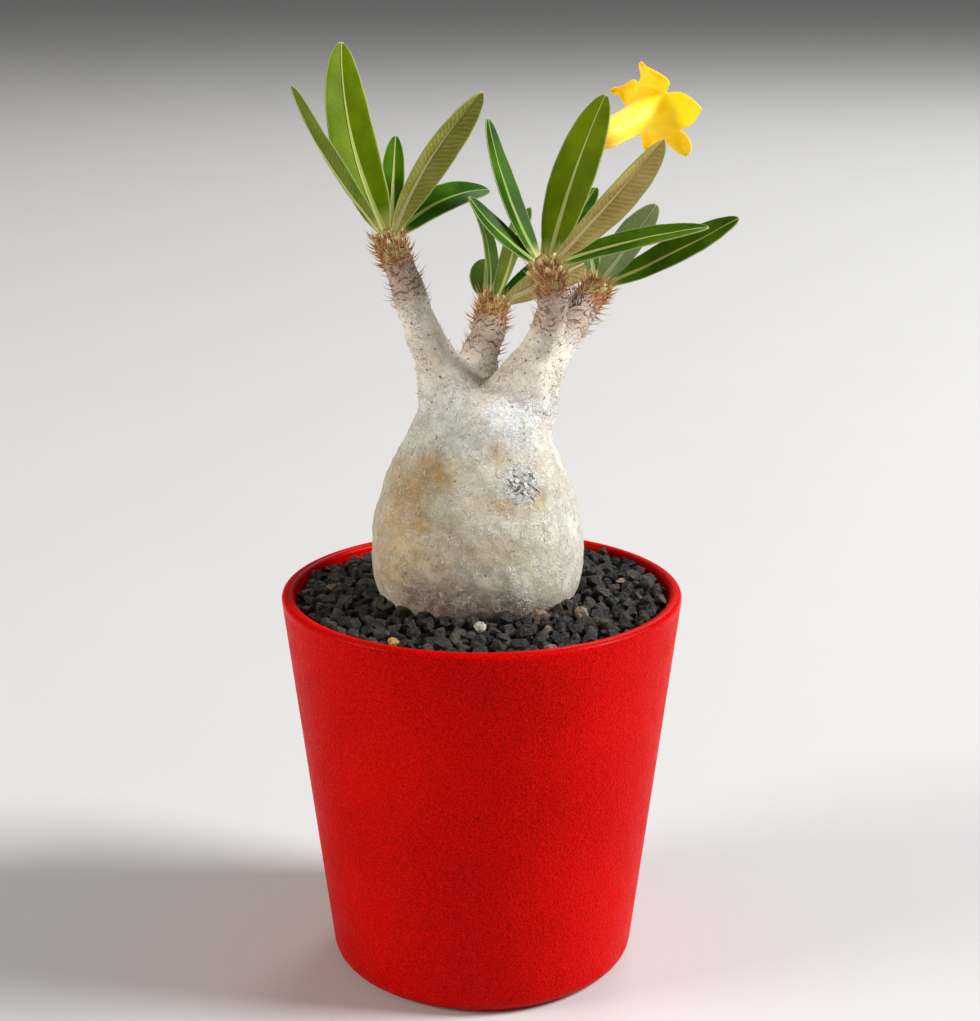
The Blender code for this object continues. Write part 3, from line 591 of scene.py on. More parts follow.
@dataclass(frozen=True)
class Bark:
    """Silvery papery bark: fibres, stains and one old scar, wrinkles and rust under the crowns, painted shade
    in the wrinkles and painted light on the right.
    """

    HONEY: ClassVar[Colour] = (0.62, 0.42, 0.18)
    OCHRE: ClassVar[Colour] = (0.40, 0.225, 0.045)
    PURPLE: ClassVar[Colour] = (0.225, 0.14, 0.10)
    WHITE: ClassVar[Colour] = (0.74, 0.765, 0.76)
    FIBRE: ClassVar[Colour] = (0.80, 0.78, 0.72)
    grey: Colour = (0.46, 0.42, 0.30)
    silver: Colour = (0.66, 0.62, 0.49)
    cream: Colour = (0.92, 0.82, 0.69)
    tan: Colour = (0.68, 0.53, 0.39)
    green_grey: Colour = (0.47, 0.46, 0.31)
    groove: Colour = (0.20, 0.16, 0.11)
    speck: Colour = (0.11, 0.075, 0.05)
    crack: Colour = (0.08, 0.045, 0.025)
    pink_brown: Colour = (0.48, 0.335, 0.26)
    # painted shade in the creases of the wrinkled bands
    crease_shade: Colour = (0.19, 0.11, 0.08)
    rust: Colour = (0.42, 0.19, 0.06)
    young_green: Colour = (0.46, 0.42, 0.13)
    ring_step: float = 1.9
    stains: tuple[Stain, ...] = (
        Stain(HONEY, (-21.0, -15.0, 126.0), (15.0, 18.0, 19.0), 0.85),
        Stain(HONEY, (-20.0, -12.0, 141.0), (9.0, 12.0, 9.0), 0.6),
        Stain(HONEY, (0.0, 24.0, 132.0), (16.0, 10.0, 12.0), 0.5),
        Stain(OCHRE, (-12.5, -19.0, 146.0), (11.0, 11.0, 6.0), 0.9),
        Stain(OCHRE, (-18.5, -17.0, 139.5), (11.0, 11.0, 7.0), 0.9),
        Stain(OCHRE, (-14.5, -22.0, 134.0), (5.0, 7.0, 5.0), 0.8),
        Stain(OCHRE, (-12.0, -25.0, 124.5), (9.0, 9.0, 4.0), 0.55),
        Stain(OCHRE, (4.5, -19.5, 150.5), (4.5, 7.0, 4.5), 0.7),
        Stain(OCHRE, (7.0, -23.0, 138.4), (6.5, 7.0, 3.6), 0.8),
        Stain(OCHRE, (14.5, -20.5, 139.0), (4.0, 6.0, 5.0), 0.7),
        Stain(OCHRE, (2.0, -27.0, 126.0), (14.0, 9.0, 9.0), 0.3),
        Stain(OCHRE, (0.0, 23.0, 140.0), (13.0, 10.0, 9.0), 0.6),
        Stain(OCHRE, (19.0, 14.0, 130.0), (9.0, 9.0, 9.0), 0.6),
        Stain(PURPLE, (-9.5, -24.5, 113.0), (24.0, 15.0, 10.0)),
        Stain(PURPLE, (9.0, -25.0, 108.5), (22.0, 15.0, 8.0), 0.95),
        Stain(PURPLE, (2.0, 26.0, 110.0), (25.0, 12.0, 9.0), 0.8),
    )
    # painted light: a paler patch on the caudex's right side, where the key light falls
    painted_light_right: Stain = Stain(WHITE, (26.0, -12.0, 128.0), (15.0, 26.0, 24.0), 0.3)
    woolly: Stain = Stain(FIBRE, (-1.0, -26.0, 113.0), (26.0, 18.0, 12.0), 0.32)
    scar: Stain = Stain(WHITE, (10.5, -20.0, 143.0), (8.0, 8.0, 7.0))
    bared: Stain = Stain((0.27, 0.18, 0.125), (10.5, -20.0, 143.0), (4.6, 6.0, 4.0), 0.45)

    def strand(self, bark: Surface, size: float, half_width: float) -> Value:
        """Returns 1 along fine winding fibres, which follow the middle level of drawn-out noise."""
        return abs(bark.noise(size, 2.0, 2.2) - 0.5).between(0.0, half_width, 1.0, 0.0)

    def paint_body(self, bark: Surface, mottle: Value) -> Value:
        """Paints the mottled bark with its stains, pores, specks and fibres and a painted light on its right
        side, and returns the fibres.
        """
        height = bark.height()
        bark.paint(self.silver, mottle.between(0.32, 0.66), self.grey)
        bark.paint(self.green_grey, bark.noise(16.0, 2.0).between(0.45, 0.65, 0.0, 0.55))
        chalk = bark.noise(3.5, 4.0).between(0.3, 0.6, 0.5, 1.0)
        bark.paint(self.WHITE, height.between(0.142, 0.162) * chalk)
        bark.paint(self.cream, height.between(0.159, 0.171, 0.0, 0.85))
        bark.paint(self.tan, bark.noise(9.0, 4.0, 0.5).between(0.42, 0.66, 0.0, 0.4))
        ragged = bark.wobbled(6.0, 3.0)
        # painted light: the right side of the caudex made paler
        bark.paint(self.painted_light_right.tint, bark.spot(ragged, self.painted_light_right, 0.2))
        blotch = bark.noise(2.4, 4.0).between(0.3, 0.62, 0.5, 1.0)
        for stain in self.stains:
            bark.paint(stain.tint, bark.spot(ragged, stain, 0.25) * blotch)
        strands = self.strand(bark, 3.2, 0.045).math("MAXIMUM", self.strand(bark, 1.7, 0.065) * 0.75)
        strands = strands * bark.noise(4.5, 2.0).between(0.36, 0.6, 0.35, 1.0)
        bark.paint(self.groove, bark.noise(0.7, 4.0, 1.0, 0.7).between(0.55, 0.72, 0.0, 0.28))
        bark.paint(self.FIBRE, strands * (bark.spot(ragged, self.woolly, 0.3) + 0.58))
        specks = bark.cells(3.1).between(0.05, 0.11, 1.0, 0.0)
        bark.paint(self.speck, specks * bark.noise(9.0, 1.0).between(0.5, 0.6))
        return strands

    def paint_crowns(self, bark: Surface) -> Value:
        """Paints the wrinkled bands with painted shade in their creases, and the rusty tips of the branches,
        and returns the creases.
        """
        tip = bark.attribute("tip_distance")
        on_band = tip.between(13.0, 19.0, 1.0, 0.0)
        bark.paint(self.pink_brown, on_band * 0.8)
        shaken = tip + bark.noise(5.0, 2.0).between(0.2, 0.8, -1.6, 1.6)
        creases = shaken.wave(self.ring_step).between(0.4, 1.0) * on_band
        creases = creases * bark.noise(2.4, 2.0).between(0.4, 0.58)
        # painted shade: darker where the creases sink in
        bark.paint(self.crease_shade, creases * 0.6)
        blotch = bark.noise(2.6, 2.0)
        bark.paint(self.rust, tip.between(5.5, 8.5, 1.0, 0.0) * blotch.between(0.36, 0.5, 0.35, 0.95))
        bark.paint(self.young_green, tip.between(4.8, 6.4, 0.9, 0.0) * blotch.between(0.44, 0.54, 1.0, 0.0))
        return creases

    def build(self) -> Material:
        """Returns the material."""
        bark = Surface("bark", 0.78, 0.3)
        mottle = bark.noise(7.0, 5.0, 0.6, 0.6)
        strands = self.paint_body(bark, mottle)
        scar = bark.spot(bark.wobbled(3.0, 1.6), self.scar, 0.35)
        bark.paint(self.scar.tint, scar * 0.8)
        bark.paint(self.bared.tint, bark.spot(bark.wobbled(2.0, 1.8), self.bared, 0.1))
        gaps = abs(bark.noise(2.3, 2.0, 1.6) - 0.5)
        broken = bark.noise(3.4, 1.0).between(0.48, 0.56)
        bark.paint(self.crack, gaps.between(0.012, 0.045, 0.9, 0.0) * scar * broken)
        creases = self.paint_crowns(bark)
        bark.relief(mottle, 0.5)
        bark.relief(strands, 0.22)
        bark.relief(bark.noise(0.5, 4.0), 0.14)
        bark.relief(gaps.between(0.0, 0.06) * scar, 0.35)
        bark.relief(creases.rest(), 0.8)
        return bark.finished(mottle.between(0.3, 0.7, 0.82, 0.62))


@dataclass(frozen=True)
class ScarDots:
    """Leaf scars: a pale raised rim with a dark brown centre."""

    rim: Colour = (0.60, 0.54, 0.45)
    centre: Colour = (0.15, 0.10, 0.07)

    def build(self) -> Material:
        """Returns the material."""
        dots = Surface("leaf scars", 0.8, 0.3)
        ragged = dots.attribute("depth") + dots.noise(0.4).between(0.3, 0.7, -0.2, 0.2)
        dots.paint(self.centre, ragged.between(0.35, 0.6), self.rim)
        dots.relief(dots.noise(0.3), 0.08)
        return dots.finished()


@dataclass(frozen=True)
class Thorn:
    """A thorn's colours from its foot to its tip. The tone attribute darkens some towards the foot's."""

    name: str
    foot: Colour
    middle: Colour
    tip: Colour

    def build(self) -> Material:
        """Returns the material."""
        thorn = Surface(self.name, 0.5, 0.4)
        along = thorn.attribute("along")
        thorn.paint(self.middle, along.between(0.05, 0.45), self.foot)
        thorn.paint(self.tip, along.between(0.4, 0.95))
        thorn.paint(self.foot, thorn.attribute("tone") * 0.55)
        thorn.relief(thorn.noise(0.25), 0.04)
        return thorn.finished()


@dataclass(frozen=True)
class LeafFace:
    """One face of a leaf blade: its greens, side veins, midrib and margin."""

    name: str
    light: Colour
    dark: Colour
    vein: Colour
    midrib: Colour
    vein_strength: float = 0.03
    midrib_half: float = 0.37
    roughness: float = 0.42
    ridge: float = 0.3
    vein_step: float = 1.35
    vein_slant: float = 0.85
    margin: Colour = (0.40, 0.44, 0.18)
    foot: Colour = (0.60, 0.60, 0.20)
    tip: Colour = (0.62, 0.42, 0.33)
    specular: float = 0.05

    def build(self) -> Material:
        """Returns the material."""
        leaf = Surface(self.name, self.roughness, self.specular)
        across = abs(leaf.attribute("across"))
        along = leaf.attribute("along")
        margin = leaf.attribute("margin")
        cloud = leaf.noise(9.0)
        leaf.paint(self.light, cloud.between(0.35, 0.68), self.dark)

        slanted = leaf.attribute("run") - across * self.vein_slant
        shaken = slanted + leaf.noise(3.0, 2.0).between(0.2, 0.8, -0.42, 0.42)
        inside = margin.between(0.25, 0.9) * across.between(0.4, 1.0)
        veins = shaken.wave(self.vein_step).between(-0.4, 1.0) * inside
        leaf.paint(self.vein, veins * self.vein_strength)
        leaf.paint(self.vein, leaf.cells(0.9, "DISTANCE_TO_EDGE").between(0.0, 0.12, 0.08, 0.0))

        half = along.between(0.0, 0.9, 1.7, 0.4) * self.midrib_half
        rib = (across - half).between(-0.1, 0.13, 1.0, 0.0)
        leaf.paint(self.midrib, rib * 0.92)
        leaf.paint(self.margin, margin.between(0.08, 0.3, 0.7, 0.0))
        leaf.paint(self.foot, along.between(0.015, 0.15, 0.9, 0.0))
        leaf.paint(self.tip, along.between(0.985, 1.0, 0.0, 0.9))

        leaf.relief(rib, self.ridge)
        leaf.relief(veins, 0.15 * self.vein_strength)
        leaf.relief(cloud, 0.25)
        return leaf.finished(cloud.between(0.3, 0.7, self.roughness - 0.05, self.roughness + 0.07))


@dataclass(frozen=True)
class Petal:
    """Yellow petal, streaked along the tube, deeper orange in its folds as painted shade, and given a faint
    painted glow.
    """

    light: Colour = (1.0, 0.73, 0.003)
    yellow: Colour = (1.0, 0.62, 0.002)
    orange: Colour = (0.96, 0.43, 0.001)
    pale: Colour = (1.0, 0.9, 0.22)
    brown: Colour = (0.45, 0.17, 0.02)
    # painted light: how strongly the petal glows yellow by itself
    painted_glow: float = 0.16
    scatter: Point = (0.002, 0.0012, 0.0003)
    streaks: float = 40.0

    def build(self) -> Material:
        """Returns the material."""
        petal = Surface("petal", 0.5, 0.35)
        # painted light: the petal glows yellow by itself
        petal.set({"Sheen Weight": 0.15, "Emission Color": self.yellow, "Emission Strength": self.painted_glow})
        petal.set({"Subsurface Weight": 0.45, "Subsurface Radius": self.scatter, "Subsurface Scale": 1.0})
        run = petal.attribute("run")
        wave = (petal.attribute("turn") * self.streaks + petal.noise(5.0)).math("SINE")
        lines = wave.between(0.2, 1.0)
        cloud = petal.noise(6.0)
        petal.paint(self.light, cloud.between(0.35, 0.7), self.yellow)
        petal.paint(self.pale, run.between(12.0, 26.0, 1.0, 0.0) * lines.between(0.0, 1.0, 0.0, 0.4))
        # painted shade: whole lobes made deeper orange by their depth
        petal.paint(self.orange, petal.attribute("depth") * 0.75)
        petal.paint(self.orange, run.between(6.0, 12.0, 0.35, 0.0))
        petal.paint(self.brown, petal.attribute("point").between(0.9, 1.0, 0.0, 0.6))
        petal.relief(lines, 0.08)
        petal.relief(cloud, 0.3)
        return petal.finished()


@dataclass(frozen=True)
class GreenSkin:
    """Green skin of the flower's stalk and sepals, flushed paler in patches."""

    name: str
    dark: Colour
    light: Colour

    def build(self) -> Material:
        """Returns the material."""
        skin = Surface(self.name, 0.5, 0.4)
        streak = skin.noise(1.6, 4.0)
        skin.relief(streak, 0.12)
        skin.paint(self.light, streak.between(0.3, 0.7), self.dark)
        return skin.finished()


@dataclass(frozen=True)
class FloorPaint:
    """Plain pale matt floor with the faintest unevenness."""

    colour: Colour = (0.64, 0.635, 0.625)
    shade: Colour = (0.62, 0.615, 0.605)

    def build(self) -> Material:
        """Returns the material."""
        floor = Surface("pale floor", 0.85, 0.2)
        floor.paint(self.colour, floor.noise(90.0, 2.0), self.shade)
        return floor.finished()


@dataclass
class Pot:
    """The tapered pot, with a rounded foot, a rounded lip and six drain holes."""

    height: float = 108.4
    rim_radius: float = 55.0
    foot_radius: float = 41.9
    wall: float = 3.5
    floor: float = 4.0
    foot_rounding: float = 6.0
    lip_rounding: float = 1.5
    steps: int = 144
    drain_holes: int = 6
    drain_radius: float = 1.8
    drain_ring: float = 24.0
    drain_sides: int = 24

    def outer(self, height: float) -> float:
        """Returns the outside radius at a height."""
        return mix(self.foot_radius, self.rim_radius, height / self.height)

    def inner(self, height: float) -> float:
        """Returns the inside radius at a height."""
        return self.outer(height) - self.wall

    def outline(self) -> list[tuple[float, float]]:
        """Returns the wall's section as (radius, height) points from the axis below to the axis above."""
        foot = (self.foot_radius, 0.0)
        outside = (self.rim_radius, self.height)
        inside = (self.inner(self.height), self.height)
        inner_foot = (self.inner(self.floor), self.floor)
        outline = [(0.0, 0.0), (self.foot_radius / 2, 0.0)]
        outline += corner_arc((0.0, 0.0), foot, outside, self.foot_rounding, 8)
        outline += [(self.outer(height), height) for height in (20.0, 40.0, 60.0, 80.0, 98.0)]
        outline += corner_arc(foot, outside, inside, self.lip_rounding, 6)
        outline += corner_arc(outside, inside, inner_foot, self.lip_rounding, 6)
        outline += [(self.inner(height), height) for height in (90.0, 50.0)]
        outline += corner_arc(inside, inner_foot, (0.0, self.floor), self.lip_rounding, 3)
        outline.append((0.0, self.floor))
        return outline

    def drill(self, pot: Piece) -> None:
        """Cuts the drain holes through the floor."""
        drills = []
        size = {"vertices": self.drain_sides, "radius": self.drain_radius * MM, "depth": 4 * self.floor * MM}
        for hole in range(self.drain_holes):
            x, y = polar(math.tau * (hole + 0.5) / self.drain_holes, self.drain_ring * MM)
            drills.append(start(bpy.ops.mesh.primitive_cylinder_add, location=(x, y, 0.0), **size))
        cutter = join(drills, "drill")
        add_modifier(pot, "BOOLEAN", operation="DIFFERENCE", object=cutter)
        bpy.data.objects.remove(cutter)

    def build(self) -> None:
        """Builds and dresses the pot."""
        pot = spin_solid("red_pot", self.outline(), self.steps)
        self.drill(pot)
        dress(shade(pot, 40.0), [RedPlastic().build()], ["pot"])


@dataclass
class Gravel:
    """Two loose layers of chips on a dark bed, heaped up against the caudex."""

    pot: Pot
    caudex: "Trunk"
    bed: Outline = ((26.0, 108.5), (34.0, 107.5), (42.0, 106.5), (50.0, 106.1))
    bed_foot: float = 97.3
    bed_gap: float = 0.4
    bed_steps: int = 96
    sink: float = 1.6
    layers: tuple[float, ...] = (-1.9, 0.1)
    sizes: tuple[float, float] = (2.6, 1.15)
    spacing: float = 0.8
    tries: int = 5200
    kinds: int = 12
    breaks: int = 8
    break_depths: tuple[float, float] = (0.44, 0.74)
    edge_merge: float = 0.14
    unevenness: float = 0.07
    tilt: float = 0.8
    seed: int = 5
    right_rise: float = 0.012
    tan_share: float = 0.015
    # (x, y, radius, tone) of the light chips that catch the eye
    pale: Bar = (
        (-0.3, -32.0, 1.8, 4.0), (-22.5, -40.8, 2.0, 3.0), (-41.3, 5.0, 1.6, 2.0), (-48.0, 4.0, 1.6, 2.0),
        (38.6, 5.5, 1.6, 2.0), (18.0, -45.0, 1.8, 2.0), (-0.3, -44.8, 2.3, 0.7), (-12.0, 40.0, 1.6, 2.0),
    )

    def level(self, x: float, y: float) -> float:
        """Returns the height of the bed's surface at a place, a little higher to the right."""
        return read_off(self.bed, math.hypot(x, y)) + x * self.right_rise

    def model_chip(self, number: int, rng: random.Random) -> Piece:
        """Models one worn chip of unit radius: a coarse ball, squashed and cut by a few flat breaks."""
        chip = start(bpy.ops.mesh.primitive_ico_sphere_add, subdivisions=2, radius=1.0)
        size = (rng.uniform(1.05, 1.35), rng.uniform(0.8, 1.0), rng.uniform(0.7, 0.9))
        bpy.ops.transform.resize(value=size)
        for _ in range(self.breaks):
            normal = Vector((rng.gauss(0, 1), rng.gauss(0, 1), rng.gauss(0, 1))).normalized()
            cut = normal * rng.uniform(*self.break_depths)
            bpy.ops.mesh.select_all(action="SELECT")
            bpy.ops.mesh.bisect(plane_co=cut, plane_no=normal, use_fill=True, clear_outer=True)
        bpy.ops.mesh.select_all(action="SELECT")
        bpy.ops.mesh.remove_doubles(threshold=self.edge_merge)
        bpy.ops.mesh.quads_convert_to_tris()
        move_vertices(chip, lambda vertex: vertex.co * rng.gauss(1.0, self.unevenness))
        return name_piece(chip, f"chip_{number}")

    def places(self, rng: random.Random) -> list[tuple[Vector, float, float]]:
        """Returns the middle, radius and tone of every chip, laid where it touches none of its layer."""
        found = []
        for lift in self.layers:
            laid: list[Point] = []
            for attempt in range(self.tries):
                radius = mix(*self.sizes, ease(attempt / self.tries)) * rng.uniform(0.9, 1.1)
                distance = self.pot.inner(105.0) * math.sqrt(rng.random())
                x, y = polar(rng.uniform(0.0, math.tau), distance)
                tone = rng.random() if rng.random() > self.tan_share else 2.0
                if lift == self.layers[-1] and attempt < len(self.pale):
                    x, y, radius, tone = self.pale[attempt]
                    distance = math.hypot(x, y)
                z = self.level(x, y) + lift + rng.uniform(-0.7, 0.5)
                gap = math.hypot(x - self.caudex.foot_x, y) - self.caudex.reach(z)
                if distance + radius * 0.9 > self.pot.inner(z) or gap < radius * 0.45:
                    continue
                if any(math.hypot(x - a, y - b) < self.spacing * (radius + r) for a, b, r in laid):
                    continue
                laid.append((x, y, radius))
                found.append((Vector((x, y, z)), radius, tone))
        return found

    def build_chips(self) -> Piece:
        """Copies the chips to their places, turned about, and joins them."""
        rng = random.Random(self.seed)
        kinds = [self.model_chip(number, rng) for number in range(self.kinds)]
        chips = []
        for middle, radius, tone in self.places(rng):
            kind = rng.choice(kinds)
            turn = Matrix.Rotation(rng.uniform(0, math.tau), 4, "Z")
            turn = turn @ Matrix.Rotation(rng.gauss(0, self.tilt), 4, "X")
            move = Matrix.Translation(middle * MM) @ turn @ Matrix.Scale(radius * MM, 4)
            chips.append(copy_to(kind, move, tone))
        return gather(kinds, chips, "gravel_chips", 34.0)

    def build_bed(self) -> Piece:
        """Spins the dark bed of grit that shows in the gaps between the chips."""
        edge = self.pot.inner(self.bed[-1][1]) - self.bed_gap
        outline = [(0.0, self.bed_foot), (self.pot.inner(self.bed_foot) - self.bed_gap, self.bed_foot)]
        outline += [(edge, self.bed[-1][1] - self.sink)]
        outline += [(radius, height - self.sink) for radius, height in reversed(self.bed[:-1])]
        outline.append((0.0, self.bed[0][1] - self.sink))
        bed = spin_solid("gravel_bed", outline, self.bed_steps)
        mark(bed, "tone", lambda place: 0.0)
        return shade(bed, 40.0)

    def build(self) -> None:
        """Builds and dresses the chips and their bed."""
        finish = Chips().build()
        dress(self.build_chips(), [finish], ["gravel"])
        dress(self.build_bed(), [finish], ["gravel"])


@dataclass
class Trunk:
    """The swollen caudex, its four branches with their leaf scars, thorns and buds, and the old scar."""

    foot_x: float = -1.2
    neck_drift: float = 1.9
    neck_start: float = 148.0
    neck_end: float = 162.0
    # (height, radius) down the caudex
    outline: Outline = (
        (165.5, 6.0), (163.5, 11.5), (160.5, 15.6), (156.5, 17.9), (152.0, 19.2), (147.6, 21.2),
        (142.0, 23.9), (136.0, 26.0), (129.5, 27.8), (123.0, 28.8), (116.5, 28.9), (110.5, 27.9),
        (106.5, 26.2), (102.5, 23.4), (97.5, 18.8), (91.0, 12.6), (83.0, 7.8), (75.0, 5.2), (70.0, 3.6),
    )
    steps: int = 96
    voxel: float = 0.62
    # (size, strength) of the lumps in the bark
    lumps: Outline = ((9.0, 1.3), (2.6, 0.45))
    branch_sides: int = 32
    branch_points: int = 24
    dome_points: int = 4
    dome_turn: float = 80.0
    route_points: int = 160
    scars_per_branch: int = 96
    scar_span: float = 0.9
    scar_skip: float = 0.2
    skin_gap: float = 1.4
    crown_reach: float = 14.0
    specks: int = 110
    speck_heights: tuple[float, float] = (168.0, 122.0)
    thorn_root: float = 0.12
    hair_top: float = 6.0
    hair_span: float = 0.86
    long_hairs: float = 12.0
    hair_fade: float = 9.0
    # (top, foot) of the rosettes of thorns and buds, in millimetres down from the tip
    thorn_rows: tuple[float, float] = (-2.8, 6.8)
    bud_rows: tuple[float, float] = (-3.9, 0.8)
    hairs_per_branch: int = 230
    thorns_per_crown: int = 130
    buds_per_crown: int = 16
    scar: Point = (10.5, -20.0, 143.0)
    scar_reach: float = 4.6
    flakes: int = 10
    flake_kinds: int = 6
    # (across, up) from the scar's middle, length and slope in degrees of its cracks
    cracks: Bar = (
        (3.9, -0.7, 5.2, -27.0), (1.2, -2.2, 1.8, -60.0), (2.5, -3.8, 2.8, -45.0), (-0.2, 0.1, 2.9, -33.0),
        (-3.5, 0.1, 2.8, -70.0), (-1.5, 2.0, 2.4, -25.0), (4.0, 2.7, 2.0, -38.0), (1.6, 2.7, 1.7, -28.0),
        (-2.6, -2.2, 1.6, 20.0),
    )
    crack_width: float = 0.2
    crack_depth: float = 0.16
    tuft: Point = (24.0, 5.5, 188.0)
    tuft_bristles: int = 16
    seed: int = 3
    skin: BVHTree | None = None
    routes: dict[str, list] = field(default_factory=dict)

    # (x, y, height, radius) from inside the neck to the growing tip
    branches: ClassVar[dict[str, Bar]] = {
        "a": (
            (-4.0, 0.0, 151.0, 14.0), (-7.0, 0.0, 160.0, 10.4), (-10.0, 0.0, 167.5, 7.6),
            (-13.0, -0.3, 174.0, 5.3), (-16.6, -2.0, 182.8, 4.7), (-19.4, -3.5, 192.5, 4.4),
            (-24.0, -4.0, 204.0, 3.9),
        ),
        "b": (
            (-1.5, 7.0, 152.0, 11.0), (-1.8, 11.5, 161.0, 8.0), (-0.8, 15.5, 169.0, 5.5),
            (1.6, 18.5, 175.5, 4.7), (3.0, 23.0, 182.5, 4.1),
        ),
        "c": (
            (4.0, -1.0, 151.0, 13.5), (9.0, -2.0, 161.5, 9.7), (12.3, -3.0, 169.0, 6.9),
            (15.2, -4.0, 175.2, 5.0), (18.2, -6.0, 184.2, 4.2), (18.6, -7.2, 190.0, 4.1),
            (16.7, -8.0, 197.5, 3.8),
        ),
        "d": (
            (6.5, 3.0, 151.0, 13.0), (12.0, 2.8, 161.5, 9.0), (15.6, 3.2, 168.0, 6.5),
            (19.9, 5.0, 174.0, 4.9), (25.0, 8.5, 181.5, 4.5), (31.0, 14.0, 188.5, 3.9),
        ),
    }

    def reach(self, height: float) -> float:
        """Returns the caudex's radius at a height."""
        return read_off(self.outline[::-1], height)

    def crown(self, key: str) -> Vector:
        """Returns the middle of a branch's growing tip."""
        return Vector(self.branches[key][-1][:3])

    def nearest(self, guess: Vector) -> tuple[Vector, Vector]:
        """Returns the skin's place nearest to a point in millimetres, in metres, and its normal."""
        return self.skin.find_nearest(guess * MM)[:2]

    def build_caudex(self) -> Piece:
        """Spins the swollen body and leans its neck to the right."""
        outline = [(0.0, self.outline[0][0])]
        outline += [(radius, height) for height, radius in smooth_path(self.outline, 3 * len(self.outline))]
        outline.append((0.0, self.outline[-1][0]))
        caudex = spin_solid("caudex_body", outline, self.steps)
        for vertex in caudex.data.vertices:
            share = (vertex.co.z / MM - self.neck_start) / (self.neck_end - self.neck_start)
            vertex.co.x += (self.foot_x + self.neck_drift * ease(share)) * MM
        return caudex

    def build_branch(self, key: str) -> Piece:
        """Extrudes one branch from the neck to its rounded growing tip."""
        path = smooth_path(self.branches[key], self.branch_points)
        radius = path[-1][3]
        heading = (self.crown(key) - Vector(self.branches[key][-2][:3])).normalized()
        for step in range(1, self.dome_points + 1):
            across, ahead = polar(math.radians(self.dome_turn) * step / self.dome_points, radius)
            path.append((*(self.crown(key) + heading * ahead), across))
        return extrude_bar(f"branch_{key}", path, self.branch_sides)

    def build_bark(self) -> Piece:
        """Grows caudex and branches into one skin, softens the crotches and adds the lumps."""
        parts = [self.build_caudex(), *(self.build_branch(key) for key in self.branches)]
        bark = join(parts, "caudex")
        add_modifier(bark, "REMESH", mode="VOXEL", voxel_size=self.voxel * MM)
        add_modifier(bark, "SMOOTH", factor=0.5, iterations=10)
        for size, strength in self.lumps:
            displace(bark, f"lumps_{size}", size * MM, strength * MM)
        crowns = [self.crown(key) * MM for key in self.branches]
        mark(bark, "tip_distance", lambda place: min((place - crown).length for crown in crowns) / MM)
        faces = [tuple(face.vertices) for face in bark.data.polygons]
        self.skin = BVHTree.FromPolygons([vertex.co for vertex in bark.data.vertices], faces)
        self.routes = {key: smooth_path(points, self.route_points) for key, points in self.branches.items()}
        return shade(bark)

    def scar_places(self, rng: random.Random) -> list[tuple[Vector, Vector, Vector, float]]:
        """Finds the leaf scars, on a spiral down each branch and thinning out over the shoulders.

        Returns:
            For each scar its place, the bark's normal, the branch's direction and the distance to the tip.
        """
        found = []
        for key, points in self.branches.items():
            path = smooth_path(points, 4 * self.scars_per_branch)
            for scar in range(self.scars_per_branch):
                share = 1 - self.scar_span * (scar + 0.7) / self.scars_per_branch
                number = round(share * (len(path) - 2))
                place, ahead = Vector(path[number][:3]), Vector(path[number + 1][:3])
                along = (ahead - place).normalized()
                across = along.cross(BACK).normalized()
                outward = Matrix.Rotation(scar * GOLDEN_ANGLE + rng.gauss(0, 0.12), 3, along) @ across
                guess = (place + outward * path[number][3] * 1.05) * MM
                spot, normal, _, gap = self.skin.find_nearest(guess)
                if gap <= self.skin_gap * MM:
                    found.append((spot, normal, along, (place - self.crown(key)).length))
        return found

    def speck_places(self, rng: random.Random) -> list[tuple[Vector, Vector]]:
        """Finds random places all over the upper caudex, for its few bumps."""
        found = []
        for _ in range(self.specks):
            turn = rng.uniform(0, math.tau)
            height = mix(*self.speck_heights, rng.random() ** 1.6)
            x, y = polar(turn, self.reach(height) + 3.0)
            found.append(self.nearest(Vector((self.foot_x + x, y, height))))
        return found

    def around(self, key: str, down: float, turn: float) -> tuple[Vector, Vector, Vector]:
        """Finds a place on a branch's skin.

        Args:
            key: The branch.
            down: How far below the branch's tip, in millimetres along it.
            turn: The angle round the branch.

        Returns:
            The place on the skin, the direction outwards and the direction of growth.
        """
        path = self.routes[key]
        number = len(path) - 1
        walked = 0.0
        while number > 1 and walked < down:
            walked += math.dist(path[number][:3], path[number - 1][:3])
            number -= 1
        middle = Vector(path[number][:3])
        along = (middle - Vector(path[number - 1][:3])).normalized()
        outward = Matrix.Rotation(turn, 3, along) @ along.cross(BACK).normalized()
        centre = middle - along * min(down, 0.0)
        return self.nearest(centre + outward * path[number][3])[0], outward, along

    def rosettes(self, count: int, top: float, foot: float) -> Iterator[tuple[str, float, float, float]]:
        """Yields the branch, the share, the way down and the turn of count places round each growing tip."""
        for key in self.branches:
            for number in range(count):
                share = (number + 0.5) / count
                yield key, share, mix(top, foot, share), number * GOLDEN_ANGLE

    def model_scar(self) -> Piece:
        """Models one leaf scar: a low eight-sided mound with a sunken centre."""
        scar = start(bpy.ops.mesh.primitive_circle_add, vertices=8, radius=1.0)
        for size, rise in ((0.72, 0.34), (0.66, 0.02), (0.6, -0.16)):
            bpy.ops.mesh.extrude_edges_move(TRANSFORM_OT_translate={"value": (0.0, 0.0, rise)})
            bpy.ops.transform.resize(value=(size, size, 1.0))
        bpy.ops.mesh.edge_face_add()
        settle()
        mark(scar, "depth", lambda place: max(0.0, 1.0 - math.hypot(place.x, place.y) / 0.75) * 1.6)
        return scar

